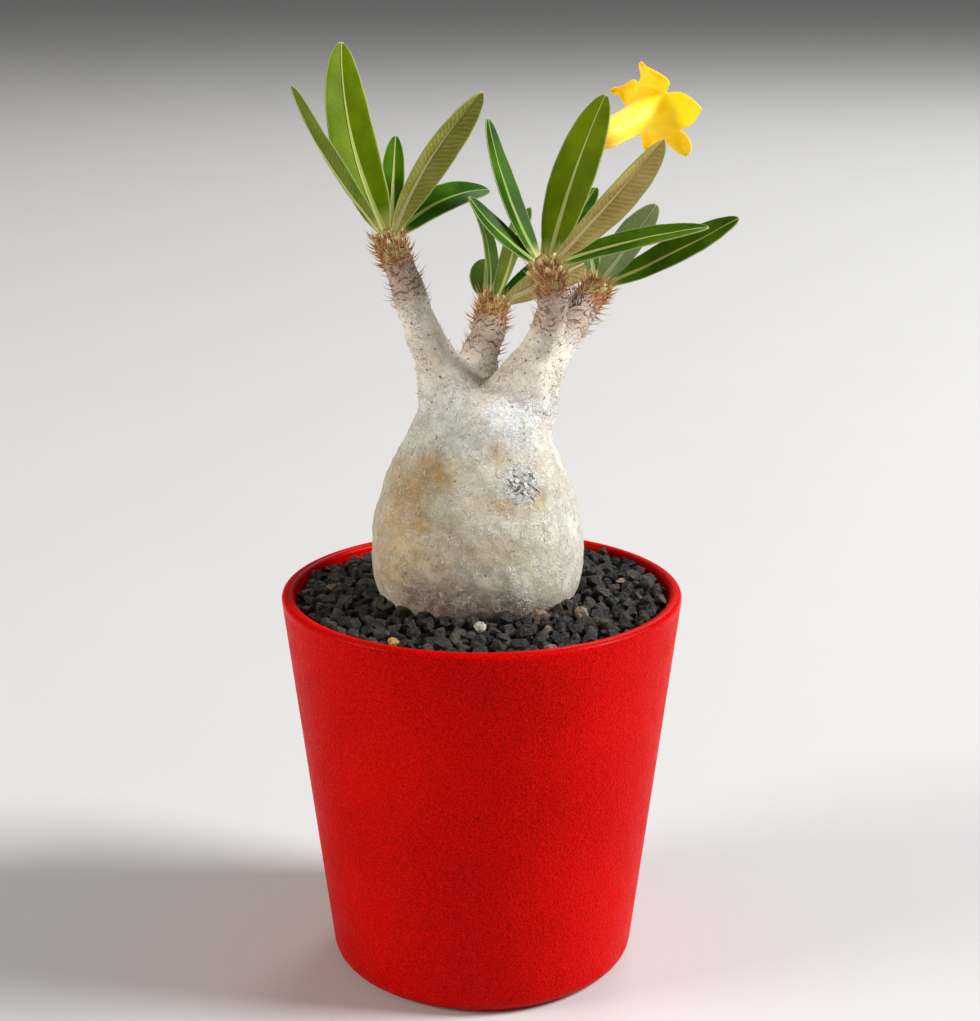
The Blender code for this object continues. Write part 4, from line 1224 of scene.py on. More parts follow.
    def model_thorn(self, sides: int, rings: int, width: float, bow: float, flare: float) -> Piece:
        """Models one curved thorn of unit length up +Z, with its foot a little below the origin.

        Args:
            sides: The number of sides.
            rings: How many times it is extruded.
            width: The radius above the foot as a share of the length.
            bow: How far the tip bends towards +X.
            flare: How many times wider the foot is.
        """
        thorn = start(bpy.ops.mesh.primitive_circle_add, vertices=sides, radius=width * flare)
        bpy.ops.transform.translate(value=(0.0, 0.0, -self.thorn_root))
        before = flare
        for ring in range(1, rings + 1):
            share = ring / rings
            step = (bow * (share**2 - (share - 1 / rings) ** 2), 0.0, (1 + self.thorn_root) / rings)
            size = (1.04 - share**1.3) / before
            before *= size
            bpy.ops.mesh.extrude_edges_move(TRANSFORM_OT_translate={"value": step})
            bpy.ops.transform.resize(value=(size, size, 1.0))
        bpy.ops.mesh.edge_face_add()
        bpy.ops.mesh.select_all(action="SELECT")
        bpy.ops.mesh.normals_make_consistent(inside=False)
        settle()
        mark(thorn, "along", lambda place: max(place.z, 0.0))
        return thorn

    def model_bud(self) -> Piece:
        """Models one bud scale of unit size: a coarse ball, flattened and drawn to a blunt point."""
        bud = start(bpy.ops.mesh.primitive_ico_sphere_add, subdivisions=2, radius=1.0)
        bpy.ops.transform.resize(value=(0.9, 1.0, 0.7))
        choose(bud, lambda vertex: vertex.co.z > 0.55)
        bpy.ops.transform.translate(value=(0.25, 0.0, 0.35))
        settle()
        mark(bud, "along", lambda place: (place.z + 0.7) / 1.8)
        return bud

    def model_flake(self, rng: random.Random) -> Piece:
        """Models one flake of dead bark of unit size: a thin ragged plate, curled up at one edge."""
        flake = start(bpy.ops.mesh.primitive_circle_add, vertices=8, radius=1.0, fill_type="TRIFAN")
        move_vertices(flake, lambda vertex: vertex.co * rng.uniform(0.5, 1.15))
        bpy.ops.mesh.subdivide(number_cuts=2)
        move_vertices(flake, lambda vertex: vertex.co + UP * (0.3 * max(vertex.co.x, 0.0) ** 2))
        add_modifier(flake, "SOLIDIFY", thickness=0.22, offset=0.0)
        mark(flake, "along", lambda place: 1.0 - place.length**4)
        return flake

    def build_scars(self, places: Sequence[tuple], rng: random.Random) -> Piece:
        """Copies the leaf scars onto the branches, leaving some out."""
        model = self.model_scar()
        scars = []
        for spot, normal, along, distance in places:
            if distance < self.crown_reach or rng.random() < self.scar_skip:
                continue
            wide = rng.uniform(0.36, 0.6)
            size = (wide, wide * rng.uniform(0.7, 1.0), wide * 0.8)
            scars.append(stand(model, spot - normal * 0.03 * MM, normal, along, size, 0.0))
        return gather([model], scars, "leaf_scars", 50.0)

    def build_hairs(self, specks: Sequence[tuple], rng: random.Random) -> Piece:
        """Copies the fine pale thorns, long and bent below the crowns and shorter down to the shoulders."""
        model = self.model_thorn(3, 4, 0.07, 0.42, 1.3)
        hairs = []
        for key, points in self.branches.items():
            lowest = self.hair_span * (Vector(points[0][:3]) - self.crown(key)).length
            for number in range(self.hairs_per_branch):
                down = mix(self.hair_top, lowest, rng.random())
                spot, outward, along = self.around(key, down, number * GOLDEN_ANGLE)
                near = 1 - ease((down - self.long_hairs) / self.hair_fade)
                length = mix(rng.uniform(0.6, 1.5), rng.uniform(1.2, 4.2), near)
                heading = outward + along * rng.uniform(0.1, 0.8) + outward.cross(along) * rng.gauss(0, 0.25)
                wide = mix(1.8, 2.2, near)
                tone = rng.random() * mix(0.4, 0.8, near)
                hairs.append(stand(model, spot, heading, along, (wide, wide, length), tone))
        for spot, normal in specks:
            size = Vector((2.6, 2.6, rng.uniform(0.3, 0.6))) * 1.4
            hairs.append(stand(model, spot, normal, UP, size, 0.1))
        return gather([model], hairs, "fine_thorns", 60.0)

    def build_crown_thorns(self, rng: random.Random) -> Piece:
        """Copies the stout orange-brown thorns that stand thick round each branch just under its leaves."""
        model = self.model_thorn(5, 5, 0.07, 0.5, 2.4)
        thorns = []
        for key, share, down, turn in self.rosettes(self.thorns_per_crown, *self.thorn_rows):
            spot, outward, along = self.around(key, down, turn + rng.gauss(0, 0.2))
            heading = outward + along * mix(0.9, -0.1, share) + outward.cross(along) * rng.gauss(0, 0.3)
            length = mix(3.4, 2.6, share) * rng.uniform(0.4, 1.35)
            wide = rng.uniform(2.2, 3.6)
            tone = rng.random() * mix(0.5, 1.0, share)
            thorns.append(stand(model, spot, heading, along, (wide, wide, length), tone))
        return gather([model], thorns, "crown_thorns", 60.0)

    def build_buds(self, rng: random.Random) -> Piece:
        """Copies the bud scales over each growing tip, between the feet of the leaves."""
        model = self.model_bud()
        buds = []
        for key, share, down, turn in self.rosettes(self.buds_per_crown, *self.bud_rows):
            spot, outward, along = self.around(key, down, turn + 0.4)
            heading = outward + along * mix(1.6, 0.3, share)
            wide = rng.uniform(0.55, 0.95)
            size = (wide, wide * 0.8, wide * rng.uniform(1.0, 1.8))
            buds.append(stand(model, spot, heading, along, size, rng.random() * share * 1.4))
        return gather([model], buds, "crown_buds", 70.0)

    def build_tuft(self, rng: random.Random) -> Piece:
        """Copies a tuft of brown bristles, left by a fallen flower stalk between the two right branches."""
        model = self.model_thorn(4, 5, 0.06, 0.3, 2.0)
        bristles = []
        up = Vector((0.1, 0.0, 1.0))
        for _ in range(self.tuft_bristles):
            guess = Vector(self.tuft) + Vector((rng.gauss(0, 1.2), rng.gauss(0, 1.2), 0.0))
            spot, normal = self.nearest(guess)
            heading = up + normal * 0.2 + Vector((rng.gauss(0, 0.22), rng.gauss(0, 0.22), 0.0))
            size = (3.2, 3.2, rng.uniform(3.2, 6.2))
            bristles.append(stand(model, spot, heading, up + normal, size, rng.random()))
        return gather([model], bristles, "brown_tuft", 60.0)

    def build_cracks(self) -> Piece:
        """Lays the old scar's brown cracks on the bark: balls drawn out thin, half sunk in."""
        model = start(bpy.ops.mesh.primitive_ico_sphere_add, subdivisions=2, radius=1.0)
        settle()
        mark(model, "along", lambda place: 0.0)
        cracks = []
        for across, up, length, slope in self.cracks:
            spot, normal = self.nearest(Vector(self.scar) + Vector((across, 0.0, up)))
            x, z = polar(math.radians(slope))
            size = (length / 2, self.crack_width, self.crack_depth)
            cracks.append(stand(model, spot, normal, Vector((x, 0.0, z)), size, 1.0))
        return gather([model], cracks, "scar_cracks")

    def build_flakes(self, rng: random.Random) -> Piece:
        """Copies the flakes over the old scar, tilted up here and there so that their edges show."""
        kinds = [self.model_flake(rng) for _ in range(self.flake_kinds)]
        flakes = []
        for number in range(self.flakes):
            x, z = polar(number * GOLDEN_ANGLE)
            away = math.sqrt((number + 0.5) / self.flakes)
            guess = Vector(self.scar) + Vector((x, 0.0, z)) * away * self.scar_reach
            spot, normal = self.nearest(guess + Vector((0.0, rng.gauss(0, 0.4), 0.0)))
            towards = Vector((rng.gauss(0, 1), 0.0, rng.gauss(0, 1)))
            heading = normal + towards.normalized() * rng.uniform(0.0, 0.25)
            wide = rng.uniform(0.6, 1.3)
            size = (wide, wide * rng.uniform(0.5, 0.9), wide * 0.4)
            kind = rng.choice(kinds)
            flakes.append(stand(kind, spot + normal * 0.04 * MM, heading, towards, size, rng.random() * 0.6))
        return gather(kinds, flakes, "scar_flakes", 30.0)

    def build(self) -> None:
        """Builds and dresses the bark, the scars and the thorns."""
        rng = random.Random(self.seed)
        bark = self.build_bark()
        places = self.scar_places(rng)
        specks = self.speck_places(rng)
        hair = Thorn("fine thorns", (0.50, 0.37, 0.27), (0.68, 0.59, 0.49), (0.82, 0.78, 0.70))
        stout = Thorn("crown thorns", (0.36, 0.16, 0.05), (0.64, 0.26, 0.07), (0.88, 0.72, 0.50))
        bud = Thorn("crown buds", (0.42, 0.22, 0.07), (0.52, 0.42, 0.13), (0.74, 0.64, 0.40))
        bristle = Thorn("brown bristles", (0.10, 0.065, 0.045), (0.20, 0.145, 0.11), (0.34, 0.27, 0.21))
        crack = Thorn("scar cracks", *[(0.12, 0.07, 0.04)] * 3)
        flake = Thorn("scar flakes", (0.34, 0.26, 0.19), (0.50, 0.45, 0.38), (0.56, 0.53, 0.48))
        for piece, finish in (
            (self.build_scars(places, rng), ScarDots()),
            (self.build_hairs(specks, rng), hair),
            (self.build_crown_thorns(rng), stout),
            (self.build_buds(rng), bud),
            (self.build_tuft(rng), bristle),
            (self.build_cracks(), crack),
            (self.build_flakes(rng), flake),
            (bark, Bark()),
        ):
            dress(piece, [finish.build()], ["trunk"])


class LeafTone(Enum):
    """How a leaf is coloured: the finish of its upper face, then of its under face. How light or dark the
    upper face is comes partly from the leaf and partly from painted light and shade.
    """

    BRIGHT = ("upper face bright", "under face green")
    GRASS = ("upper face green", "under face green")
    OLIVE = ("upper face bright", "under face khaki")
    BEIGE = ("upper face bright", "under face beige")
    DEEP = ("upper face deep", "under face sage")
    DUSKY = ("upper face dusky", "under face sage")


@dataclass(frozen=True)
class Blade:
    """One strap leaf: where its tip is from its branch's tip, and how the blade is held.

    Widths, reach, arch and sweep are in millimetres, and roll, seat, seat_rise and fold in degrees.
    """

    crown: str
    name: str
    reach: Point
    width: float
    roll: float
    seat: float
    tone: LeafTone
    seat_rise: float = 45.0
    arch: float = 0.0
    sweep: float = 0.0
    widest: float = 0.55
    fold: float = 11.0


@dataclass
class Foliage:
    """All the leaves, each a folded blade bent along its midrib."""

    trunk: Trunk
    # each leaf's tone is partly its own colour and partly painted light and shade, a lighter or darker green
    # given to match how it is lit
    blades: tuple[Blade, ...] = (
        Blade("a", "narrow", (-24.5, -1.0, 40.0), 9.0, 30, 207, LeafTone.BRIGHT, arch=-2.1, fold=22),
        Blade("a", "tall", (-12.5, 15.0, 50.0), 12.5, -22, 119, LeafTone.BRIGHT,
              arch=1.0, sweep=3.5, widest=0.5, fold=14),
        Blade("a", "small", (1.1, 20.0, 25.5), 6.3, 0, 75, LeafTone.GRASS, arch=1.0),
        Blade("a", "khaki", (24.5, -14.0, 39.5), 9.8, -36, -60, LeafTone.OLIVE,
              sweep=-2.9, widest=0.6, fold=-30),
        Blade("a", "low", (26.0, 16.0, 11.5), 9.8, 33, 30, LeafTone.DEEP, 42, arch=4.5, widest=0.5),
        Blade("a", "rear", (-16.0, 29.0, 20.0), 8.0, 0, 110, LeafTone.DEEP, 5, arch=3.0),
        Blade("b", "left", (-5.9, 11.0, 26.5), 9.6, 45, 215, LeafTone.DUSKY, 65, arch=2.4),
        Blade("b", "broad", (-2.0, 11.0, 11.2), 8.8, -10, 145, LeafTone.DUSKY, 30, arch=1.0),
        Blade("b", "olive", (6.1, -11.0, 26.2), 8.5, 20, -75, LeafTone.GRASS, arch=-1.5),
        Blade("b", "rear", (10.5, 27.0, 23.5), 8.0, -25, 75, LeafTone.DUSKY),
        Blade("b", "teal", (25.5, 17.0, 16.0), 9.0, 12, 35, LeafTone.DEEP, 30),
        Blade("b", "long", (38.0, 5.0, 17.5), 10.5, -75, -20, LeafTone.BEIGE, 15),
        Blade("c", "left", (-15.0, 8.0, 38.0), 8.2, -11, 150, LeafTone.DEEP,
              arch=-1.0, sweep=1.5, widest=0.5),
        Blade("c", "tall", (15.8, 16.0, 43.3), 12.2, 26, 65, LeafTone.BRIGHT, sweep=1.2, widest=0.54, fold=5),
        Blade("c", "khaki", (28.5, -16.0, 35.0), 9.6, -45, -40, LeafTone.BEIGE,
              sweep=0.5, widest=0.6, fold=-32),
        Blade("c", "right", (41.5, -4.0, 11.5), 8.0, 31, -5, LeafTone.GRASS, 30, arch=1.5, widest=0.5),
        Blade("c", "low", (-20.0, -3.5, 19.0), 6.8, -38, 220, LeafTone.DEEP, 35, arch=-1.5),
        Blade("c", "rear", (14.3, 30.0, 17.5), 8.0, 0, 65, LeafTone.DEEP, 0, arch=1.0),
        Blade("d", "khaki", (14.5, -14.0, 25.0), 9.6, -33, -60, LeafTone.DUSKY),
        Blade("d", "long", (37.3, -6.0, 20.2), 10.0, 42, -5, LeafTone.GRASS, 30, sweep=-0.8),
        Blade("d", "young", (-3.8, 12.0, 23.5), 6.0, 0, 100, LeafTone.DUSKY),
    )
    # (share of the length, share of the full width)
    profile: Outline = (
        (0.0, 0.22), (0.03, 0.27), (0.07, 0.40), (0.15, 0.62), (0.25, 0.81), (0.42, 0.97), (0.55, 1.0),
        (0.72, 0.91), (0.85, 0.71), (0.93, 0.49), (0.97, 0.32), (1.0, 0.07),
    )
    # the upper faces are lighter and darker greens, partly the leaves' own and partly painted light and shade
    faces: tuple[LeafFace, ...] = (
        LeafFace("under face khaki", (0.30, 0.295, 0.055), (0.195, 0.195, 0.024), (0.40, 0.39, 0.11),
                 (0.60, 0.59, 0.27), 0.4, 0.5, 0.5, 0.6, vein_step=1.5),
        LeafFace("under face beige", (0.56, 0.44, 0.145), (0.38, 0.29, 0.075), (0.68, 0.56, 0.23),
                 (0.76, 0.68, 0.34), 0.4, 0.5, 0.5, 0.6, vein_step=1.5),
        LeafFace("under face sage", (0.27, 0.35, 0.145), (0.17, 0.245, 0.085), (0.30, 0.35, 0.17),
                 (0.44, 0.50, 0.24), 0.35, 0.45, 0.5, 0.6, vein_step=1.5),
        LeafFace("under face green", (0.18, 0.24, 0.025), (0.10, 0.155, 0.010), (0.25, 0.31, 0.07),
                 (0.46, 0.50, 0.16), 0.2, 0.5, 0.5, 0.5),
        LeafFace("upper face bright", (0.155, 0.23, 0.002), (0.105, 0.168, 0.001), (0.32, 0.38, 0.03),
                 (0.52, 0.56, 0.17)),
        LeafFace("upper face deep", (0.042, 0.125, 0.002), (0.014, 0.058, 0.001), (0.09, 0.18, 0.02),
                 (0.30, 0.40, 0.09)),
        LeafFace("upper face dusky", (0.09, 0.17, 0.02), (0.05, 0.105, 0.008), (0.26, 0.35, 0.13),
                 (0.32, 0.40, 0.16)),
        LeafFace("upper face green", (0.07, 0.165, 0.003), (0.03, 0.085, 0.001), (0.18, 0.26, 0.03),
                 (0.52, 0.56, 0.17)),
    )
    widest: float = 0.55
    rows: int = 36
    columns: int = 10
    thickness: float = 0.42
    waves: float = 0.9
    # smallest and largest size of the waves, in metres
    wave_sizes: tuple[float, float] = (0.011, 0.016)
    seat_depth: float = 1.5
    column_spread: float = 1.5

    def midrib(self, blade: Blade) -> tuple[list[Vector], Vector]:
        """Returns the midrib's points from seat to tip, and the direction of the blade's left side."""
        crown = self.trunk.crown(blade.crown)
        radius = self.trunk.branches[blade.crown][-1][3]
        level, height = polar(math.radians(blade.seat_rise))
        away = Vector((*polar(math.radians(blade.seat), level), height))
        base = crown + away * (radius - self.seat_depth)
        tip = crown + Vector(blade.reach)
        along = (tip - base).normalized()
        side = Matrix.Rotation(math.radians(blade.roll), 3, along) @ UP.cross(along).normalized()
        upward = along.cross(side)
        points = []
        for row in range(self.rows + 1):
            share = row / self.rows
            bow = 4 * share * (1 - share)
            points.append(base.lerp(tip, share) + upward * blade.arch * bow + side * blade.sweep * bow)
        return points, side

    def width_at(self, blade: Blade, share: float) -> float:
        """Returns the blade's full width at a share of its length."""
        stretch = math.log(self.widest) / math.log(blade.widest)
        return blade.width * read_off(self.profile, share**stretch)

    def model_flat(self, blade: Blade, length: float) -> Piece:
        """Models the blade flat along +X: a grid whose rows are resized and whose columns are folded up.

        Args:
            blade: The leaf's sizes.
            length: The midrib's length.

        Returns:
            The flat blade, with its measures in attributes.
        """
        counts = {"x_subdivisions": self.rows, "y_subdivisions": self.columns}
        leaf = start(bpy.ops.mesh.primitive_grid_add, size=1.0, **counts)
        half = self.columns // 2
        slope = math.tan(math.radians(blade.fold))
        for column in (*range(-half, 0), *range(1, half + 1)):
            before = column / self.columns
            after = math.copysign(0.5 * (abs(column) / half) ** self.column_spread, column)
            choose(leaf, lambda vertex: abs(vertex.co.y - before) < 0.2 / self.columns)
            bpy.ops.transform.translate(value=(0.0, after - before, abs(after) * slope))
        for row in range(self.rows + 1):
            share = row / self.rows
            width = self.width_at(blade, share) * MM
            choose(leaf, lambda vertex: abs(vertex.co.x - (share - 0.5)) < 0.2 / self.rows)
            bpy.ops.transform.resize(value=(1.0, width, width), center_override=(0.0, 0.0, 0.0))
        bpy.ops.mesh.select_all(action="SELECT")
        bpy.ops.transform.translate(value=(0.5, 0.0, 0.0))
        bpy.ops.transform.resize(value=(length * MM, 1.0, 1.0), center_override=(0.0, 0.0, 0.0))
        settle()

        def margin(place: Vector) -> float:
            """Returns how far a place is from the blade's edge."""
            return self.width_at(blade, place.x / MM / length) / 2 - abs(place.y / MM)

        mark(leaf, "run", lambda place: place.x / MM)
        mark(leaf, "along", lambda place: place.x / MM / length)
        mark(leaf, "across", lambda place: place.y / MM)
        mark(leaf, "margin", margin)
        return leaf

    def guide(self, points: Sequence[Vector], side: Vector) -> Piece:
        """Draws the curve that the blade bends along, tilted to put the blade's left side in its place."""
        curve = bpy.data.curves.new("midrib", "CURVE")
        curve.dimensions = "3D"
        curve.twist_mode = "Z_UP"
        curve.use_path = True
        spline = curve.splines.new("POLY")
        spline.points.add(len(points) - 1)
        for knot, point, along in zip(spline.points, points, headings(points)):
            level = UP.cross(along).normalized()
            local_side = (side - along * side.dot(along)).normalized()
            knot.co = (*(point * MM), 1.0)
            knot.tilt = math.atan2(level.cross(local_side).dot(along), level.dot(local_side))
        guide = bpy.data.objects.new("midrib", curve)
        bpy.context.scene.collection.objects.link(guide)
        return guide

    def build_leaf(self, blade: Blade) -> Piece:
        """Builds one leaf: flat blade, slight waves, thickness, then the bend along its midrib."""
        points, side = self.midrib(blade)
        length = sum((after - before).length for before, after in zip(points, points[1:]))
        leaf = self.model_flat(blade, length)
        size = mix(*self.wave_sizes, random.Random(blade.name + blade.crown).random())
        displace(leaf, f"waves_{blade.crown}_{blade.name}", size, self.waves * MM, direction="Z")
        for _ in range(2):
            leaf.data.materials.append(None)
        thicken(leaf, self.thickness, offset=-1.0, material_offset=1)
        guide = self.guide(points, side)
        add_modifier(leaf, "CURVE", object=guide, deform_axis="POS_X")
        bpy.data.objects.remove(guide)
        return name_piece(shade(leaf), f"blade_{blade.crown}_{blade.name}")

    def build(self) -> None:
        """Builds and dresses every leaf."""
        finishes = {face.name: face.build() for face in self.faces}
        for blade in self.blades:
            pair = [finishes[name] for name in blade.tone.value]
            dress(self.build_leaf(blade), pair, [f"leaf_{blade.crown}_{blade.name}"])


@dataclass(frozen=True)
class Lobe:
    """One lobe of the corolla: its edges from notch to tip as (across, up) points, its depth of painted shade
    in orange and its cup.
    """

    first_edge: Outline
    second_edge: Outline
    # how deep the painted shade in orange on the lobe is
    depth: float
    cup: float


@dataclass
class Flower:
    """The single flower: stalk, calyx and a funnel that opens into five slanted lobes."""

    trunk: Trunk
    base: Vector = Vector((28.0, 10.8, 227.7))
    axis: Vector = Vector((19.0, 21.8, 7.0)).normalized()
    # (distance along the axis, radius)
    tube: Outline = (
        (1.5, 1.2), (3.6, 1.7), (5.6, 3.0), (8.5, 3.7), (14.0, 3.8), (19.0, 4.0), (23.5, 4.6), (27.0, 5.7),
    )
    tube_rings: int = 22
    limb: float = 29.6
    limb_ring: float = 7.0
    limb_gap: float = 0.4
    limb_start: float = 6.0
    flutes: int = 5
    flute_depth: float = 0.035
    droop: float = 1.6
    narrowing: float = 0.12
    ruffle: float = 0.5
    columns: int = 10
    rows: int = 10
    edge_points: int = 41
    thickness: float = 0.34
    lobes: tuple[Lobe, ...] = (
        Lobe(
            ((8.3, -5.0), (12.1, -3.5), (15.3, -0.9), (17.2, 1.5)),
            ((5.0, 5.1), (9.6, 5.9), (13.2, 4.9), (15.7, 3.3), (17.2, 1.5)), 0.0, 0.8,
        ),
        Lobe(
            ((5.0, 5.1), (6.9, 7.6), (6.2, 9.5), (3.9, 11.0), (1.2, 12.5), (-1.0, 13.9)),
            ((-3.8, 7.7), (-2.6, 9.5), (-2.2, 11.4), (-2.1, 13.0), (-1.0, 13.9)), 0.35, -1.2,
        ),
        Lobe(
            ((-3.8, 7.7), (-5.4, 8.6), (-8.0, 7.2), (-9.8, 6.3), (-11.7, 6.4), (-12.7, 5.2)),
            ((-6.7, 0.0), (-8.8, 0.8), (-10.0, 2.5), (-10.4, 4.0), (-11.9, 4.1), (-12.7, 5.2)), 0.7, 1.0,
        ),
        Lobe(
            ((-6.4, -1.0), (-5.4, -5.0), (-4.9, -7.0), (-4.3, -9.4), (-2.8, -12.4)),
            ((2.4, -8.0), (2.4, -9.8), (0.6, -11.6), (-2.8, -12.4)), 0.6, 1.0,
        ),
        Lobe(
            ((2.4, -8.0), (4.2, -9.8), (7.6, -11.3), (10.8, -11.6)),
            ((8.3, -5.0), (10.8, -6.2), (12.1, -7.9), (12.3, -9.9), (10.8, -11.6)), 0.3, -0.8,
        ),
    )
    sepals: int = 5
    sepal_steps: int = 6
    # (distance along the axis, radius) of the calyx, whose last rows are drawn out into the sepals
    cup: Outline = ((-2.0, 1.0), (-1.2, 2.0), (0.2, 2.4), (1.2, 2.5), (2.4, 2.62), (3.6, 2.75), (4.6, 2.9))
    cup_bottom: float = -2.2
    sepal_rows: int = 3
    sepal_length: float = 3.6
    sepal_thickness: float = 0.4
    stalk_radius: float = 0.85
    stalk_flare: float = 1.1
    stalk_rings: int = 24
    stalk_sides: int = 14
    stalk_turn: float = 100.0
    stalk_seat: float = 0.8
    stalk_rise: float = 20.0
    stalk_approach: float = 4.0
    stalk_end: float = 1.7

    def frame(self) -> tuple[Vector, Vector]:
        """Returns the flower's directions across and up, square to its axis."""
        side = self.axis.cross(UP).normalized()
        return side, side.cross(self.axis)

    def spot(self, across: float, up: float, along: float) -> Vector:
        """Returns the place of a point given in the flower's own directions, in metres."""
        side, rise = self.frame()
        return (self.base + self.axis * along + side * across + rise * up) * MM

    def mouth(self) -> list[tuple[float, float]]:
        """Returns the (across, up) points where the tube opens into the lobes."""
        ring = []
        for lobe in self.lobes:
            for column in range(self.columns):
                share = column / self.columns
                chord = Vector(lobe.first_edge[0]).lerp(Vector(lobe.second_edge[0]), share)
                radius = mix(self.limb_ring, chord.length, abs(2 * share - 1) ** 1.5)
                ring.append(tuple(chord.normalized() * radius))
        return ring

    def lobe_row(self, lobe: Lobe, share: float) -> list[Point]:
        """Returns (across, up, along) points from one edge of a lobe to the other, a share of the way out."""
        step = round(share * (self.edge_points - 1))
        first = Vector(smooth_path(lobe.first_edge, self.edge_points)[step])
        second = Vector(smooth_path(lobe.second_edge, self.edge_points)[step])
        tip = Vector(lobe.first_edge[-1])
        row = []
        for column in range(self.columns + 1):
            place = column / self.columns
            swell = math.sin(math.pi * place)
            point = first.lerp(second, place)
            point += (tip - point) * self.narrowing * swell * math.sin(math.pi * share)
            along = self.limb - self.droop * share
            along += lobe.cup * swell * math.sin(math.pi * min(share * 1.1, 1.0))
            along += self.ruffle * math.sin(place * 9.0 + share * 5.0) * share
            row.append((point.x, point.y, along))
        return row

    def tube_places(self) -> list[list[Vector]]:
        """Returns the places of the tube's rings, slightly fluted, from the calyx to the mouth."""
        mouth = self.mouth()
        rings = []
        for along, radius in smooth_path(self.tube, self.tube_rings):
            ring = []
            for across, up in mouth:
                turn = math.atan2(up, across)
                fluted = radius * (1 + self.flute_depth * math.cos(self.flutes * turn) * ease(along / 12))
                ring.append(self.spot(*polar(turn, fluted), along))
            rings.append(ring)
        rings.append([self.spot(across, up, self.limb - self.limb_gap) for across, up in mouth])
        return rings

    def extrude_row(self, corolla: Piece, row: Sequence[int], places: Sequence[Point]) -> list[int]:
        """Extrudes a row of vertices to new places, and returns the numbers of the new row."""
        choose(corolla, lambda vertex: vertex.index in row)
        bpy.ops.mesh.extrude_edges_move()
        mesh = bmesh.from_edit_mesh(corolla.data)
        mesh.verts.index_update()
        fresh = {}
        for vertex in mesh.verts:
            others = [link.other_vert(vertex).index for link in vertex.link_edges] if vertex.select else []
            fresh.update({row.index(other): vertex for other in others if other in row})
        for column, vertex in fresh.items():
            vertex.co = self.spot(*places[column])
        bmesh.update_edit_mesh(corolla.data)
        return [fresh[column].index for column in range(len(row))]

    def build_corolla(self) -> Piece:
        """Extrudes the tube from a circle, ring by ring, then draws each lobe out from the mouth."""
        rings = self.tube_places()
        steps = len(rings[0])
        corolla = start(bpy.ops.mesh.primitive_circle_add, vertices=steps, radius=MM)
        for number, ring in enumerate(rings):
            if number:
                bpy.ops.mesh.extrude_edges_move()
            mesh = bmesh.from_edit_mesh(corolla.data)
            mesh.verts.ensure_lookup_table()
            for step, place in enumerate(ring):
                mesh.verts[number * steps + step].co = place
            bmesh.update_edit_mesh(corolla.data)
        edge = (len(rings) - 1) * steps
        for number, lobe in enumerate(self.lobes):
            row = [edge + (number * self.columns + column) % steps for column in range(self.columns + 1)]
            for line in range(1, self.rows + 1):
                row = self.extrude_row(corolla, row, self.lobe_row(lobe, line / self.rows))
        close_mesh()
        self.measure(corolla)
        thicken(corolla, self.thickness, offset=0.0)
        return name_piece(shade(corolla), "yellow_corolla")

    def measure(self, corolla: Piece) -> None:
        """Writes each vertex's run along the axis, its turn, its lobe's depth of painted shade and its
        nearness to a tip.
        """
        side, rise = self.frame()

        def spread(place: Vector) -> Vector:
            """Returns a place's point across and up from the axis."""
            away = place / MM - self.base
            return Vector((away.dot(side), away.dot(rise)))

        def lobe_at(place: Vector) -> Lobe:
            """Returns the lobe whose outer part is nearest."""
            here = spread(place)
            return min(self.lobes, key=lambda lobe: (Vector(lobe.first_edge[-1]) * 0.75 - here).length)

        def run(place: Vector) -> float:
            """Returns the way from the calyx along the tube, and from there out over the limb."""
            out = spread(place).length
            return (place / MM - self.base).dot(self.axis) if out < self.limb_start else self.limb + out

        def near_tip(place: Vector) -> float:
            """Returns 1 at the lobe's tip, falling to 0 away from it."""
            away = (Vector(lobe_at(place).first_edge[-1]) - spread(place)).length
            return 1.0 - min(away / 6.0, 1.0)

        mark(corolla, "run", run)
        mark(corolla, "turn", lambda place: math.atan2(spread(place).y, spread(place).x) / math.tau)
        # painted shade: each lobe's orange, easing in past the mouth
        mark(corolla, "depth", lambda place: lobe_at(place).depth * ease((spread(place).length - 5.2) / 2.5))
        mark(corolla, "point", near_tip)

    def build_calyx(self) -> Piece:
        """Extrudes a small cup and draws it out into pointed sepals."""
        steps = self.sepal_steps * self.sepals
        calyx = start(bpy.ops.mesh.primitive_circle_add, vertices=steps, radius=MM, fill_type="TRIFAN")
        choose(calyx, lambda vertex: vertex.index != steps)
        for number, (along, radius) in enumerate(self.cup):
            if number:
                bpy.ops.mesh.extrude_edges_move()
            late = max(number - len(self.cup) + self.sepal_rows + 1, 0) / self.sepal_rows
            mesh = bmesh.from_edit_mesh(calyx.data)
            chosen = [vertex for vertex in mesh.verts if vertex.select]
            for step, vertex in enumerate(sorted(chosen, key=lambda vertex: vertex.index)):
                from_middle = abs((step % self.sepal_steps) / self.sepal_steps - 0.5) * 2
                reach = mix(along, 1.0 + self.sepal_length * (1 - from_middle) * late, late)
                vertex.co = self.spot(*polar(math.tau * step / steps, radius), reach)
            bmesh.update_edit_mesh(calyx.data)
        mesh = bmesh.from_edit_mesh(calyx.data)
        mesh.verts.ensure_lookup_table()
        mesh.verts[steps].co = self.spot(0.0, 0.0, self.cup_bottom)
        bmesh.update_edit_mesh(calyx.data)
        close_mesh()
        thicken(calyx, self.sepal_thickness, offset=1.0)
        return name_piece(shade(calyx), "green_calyx")

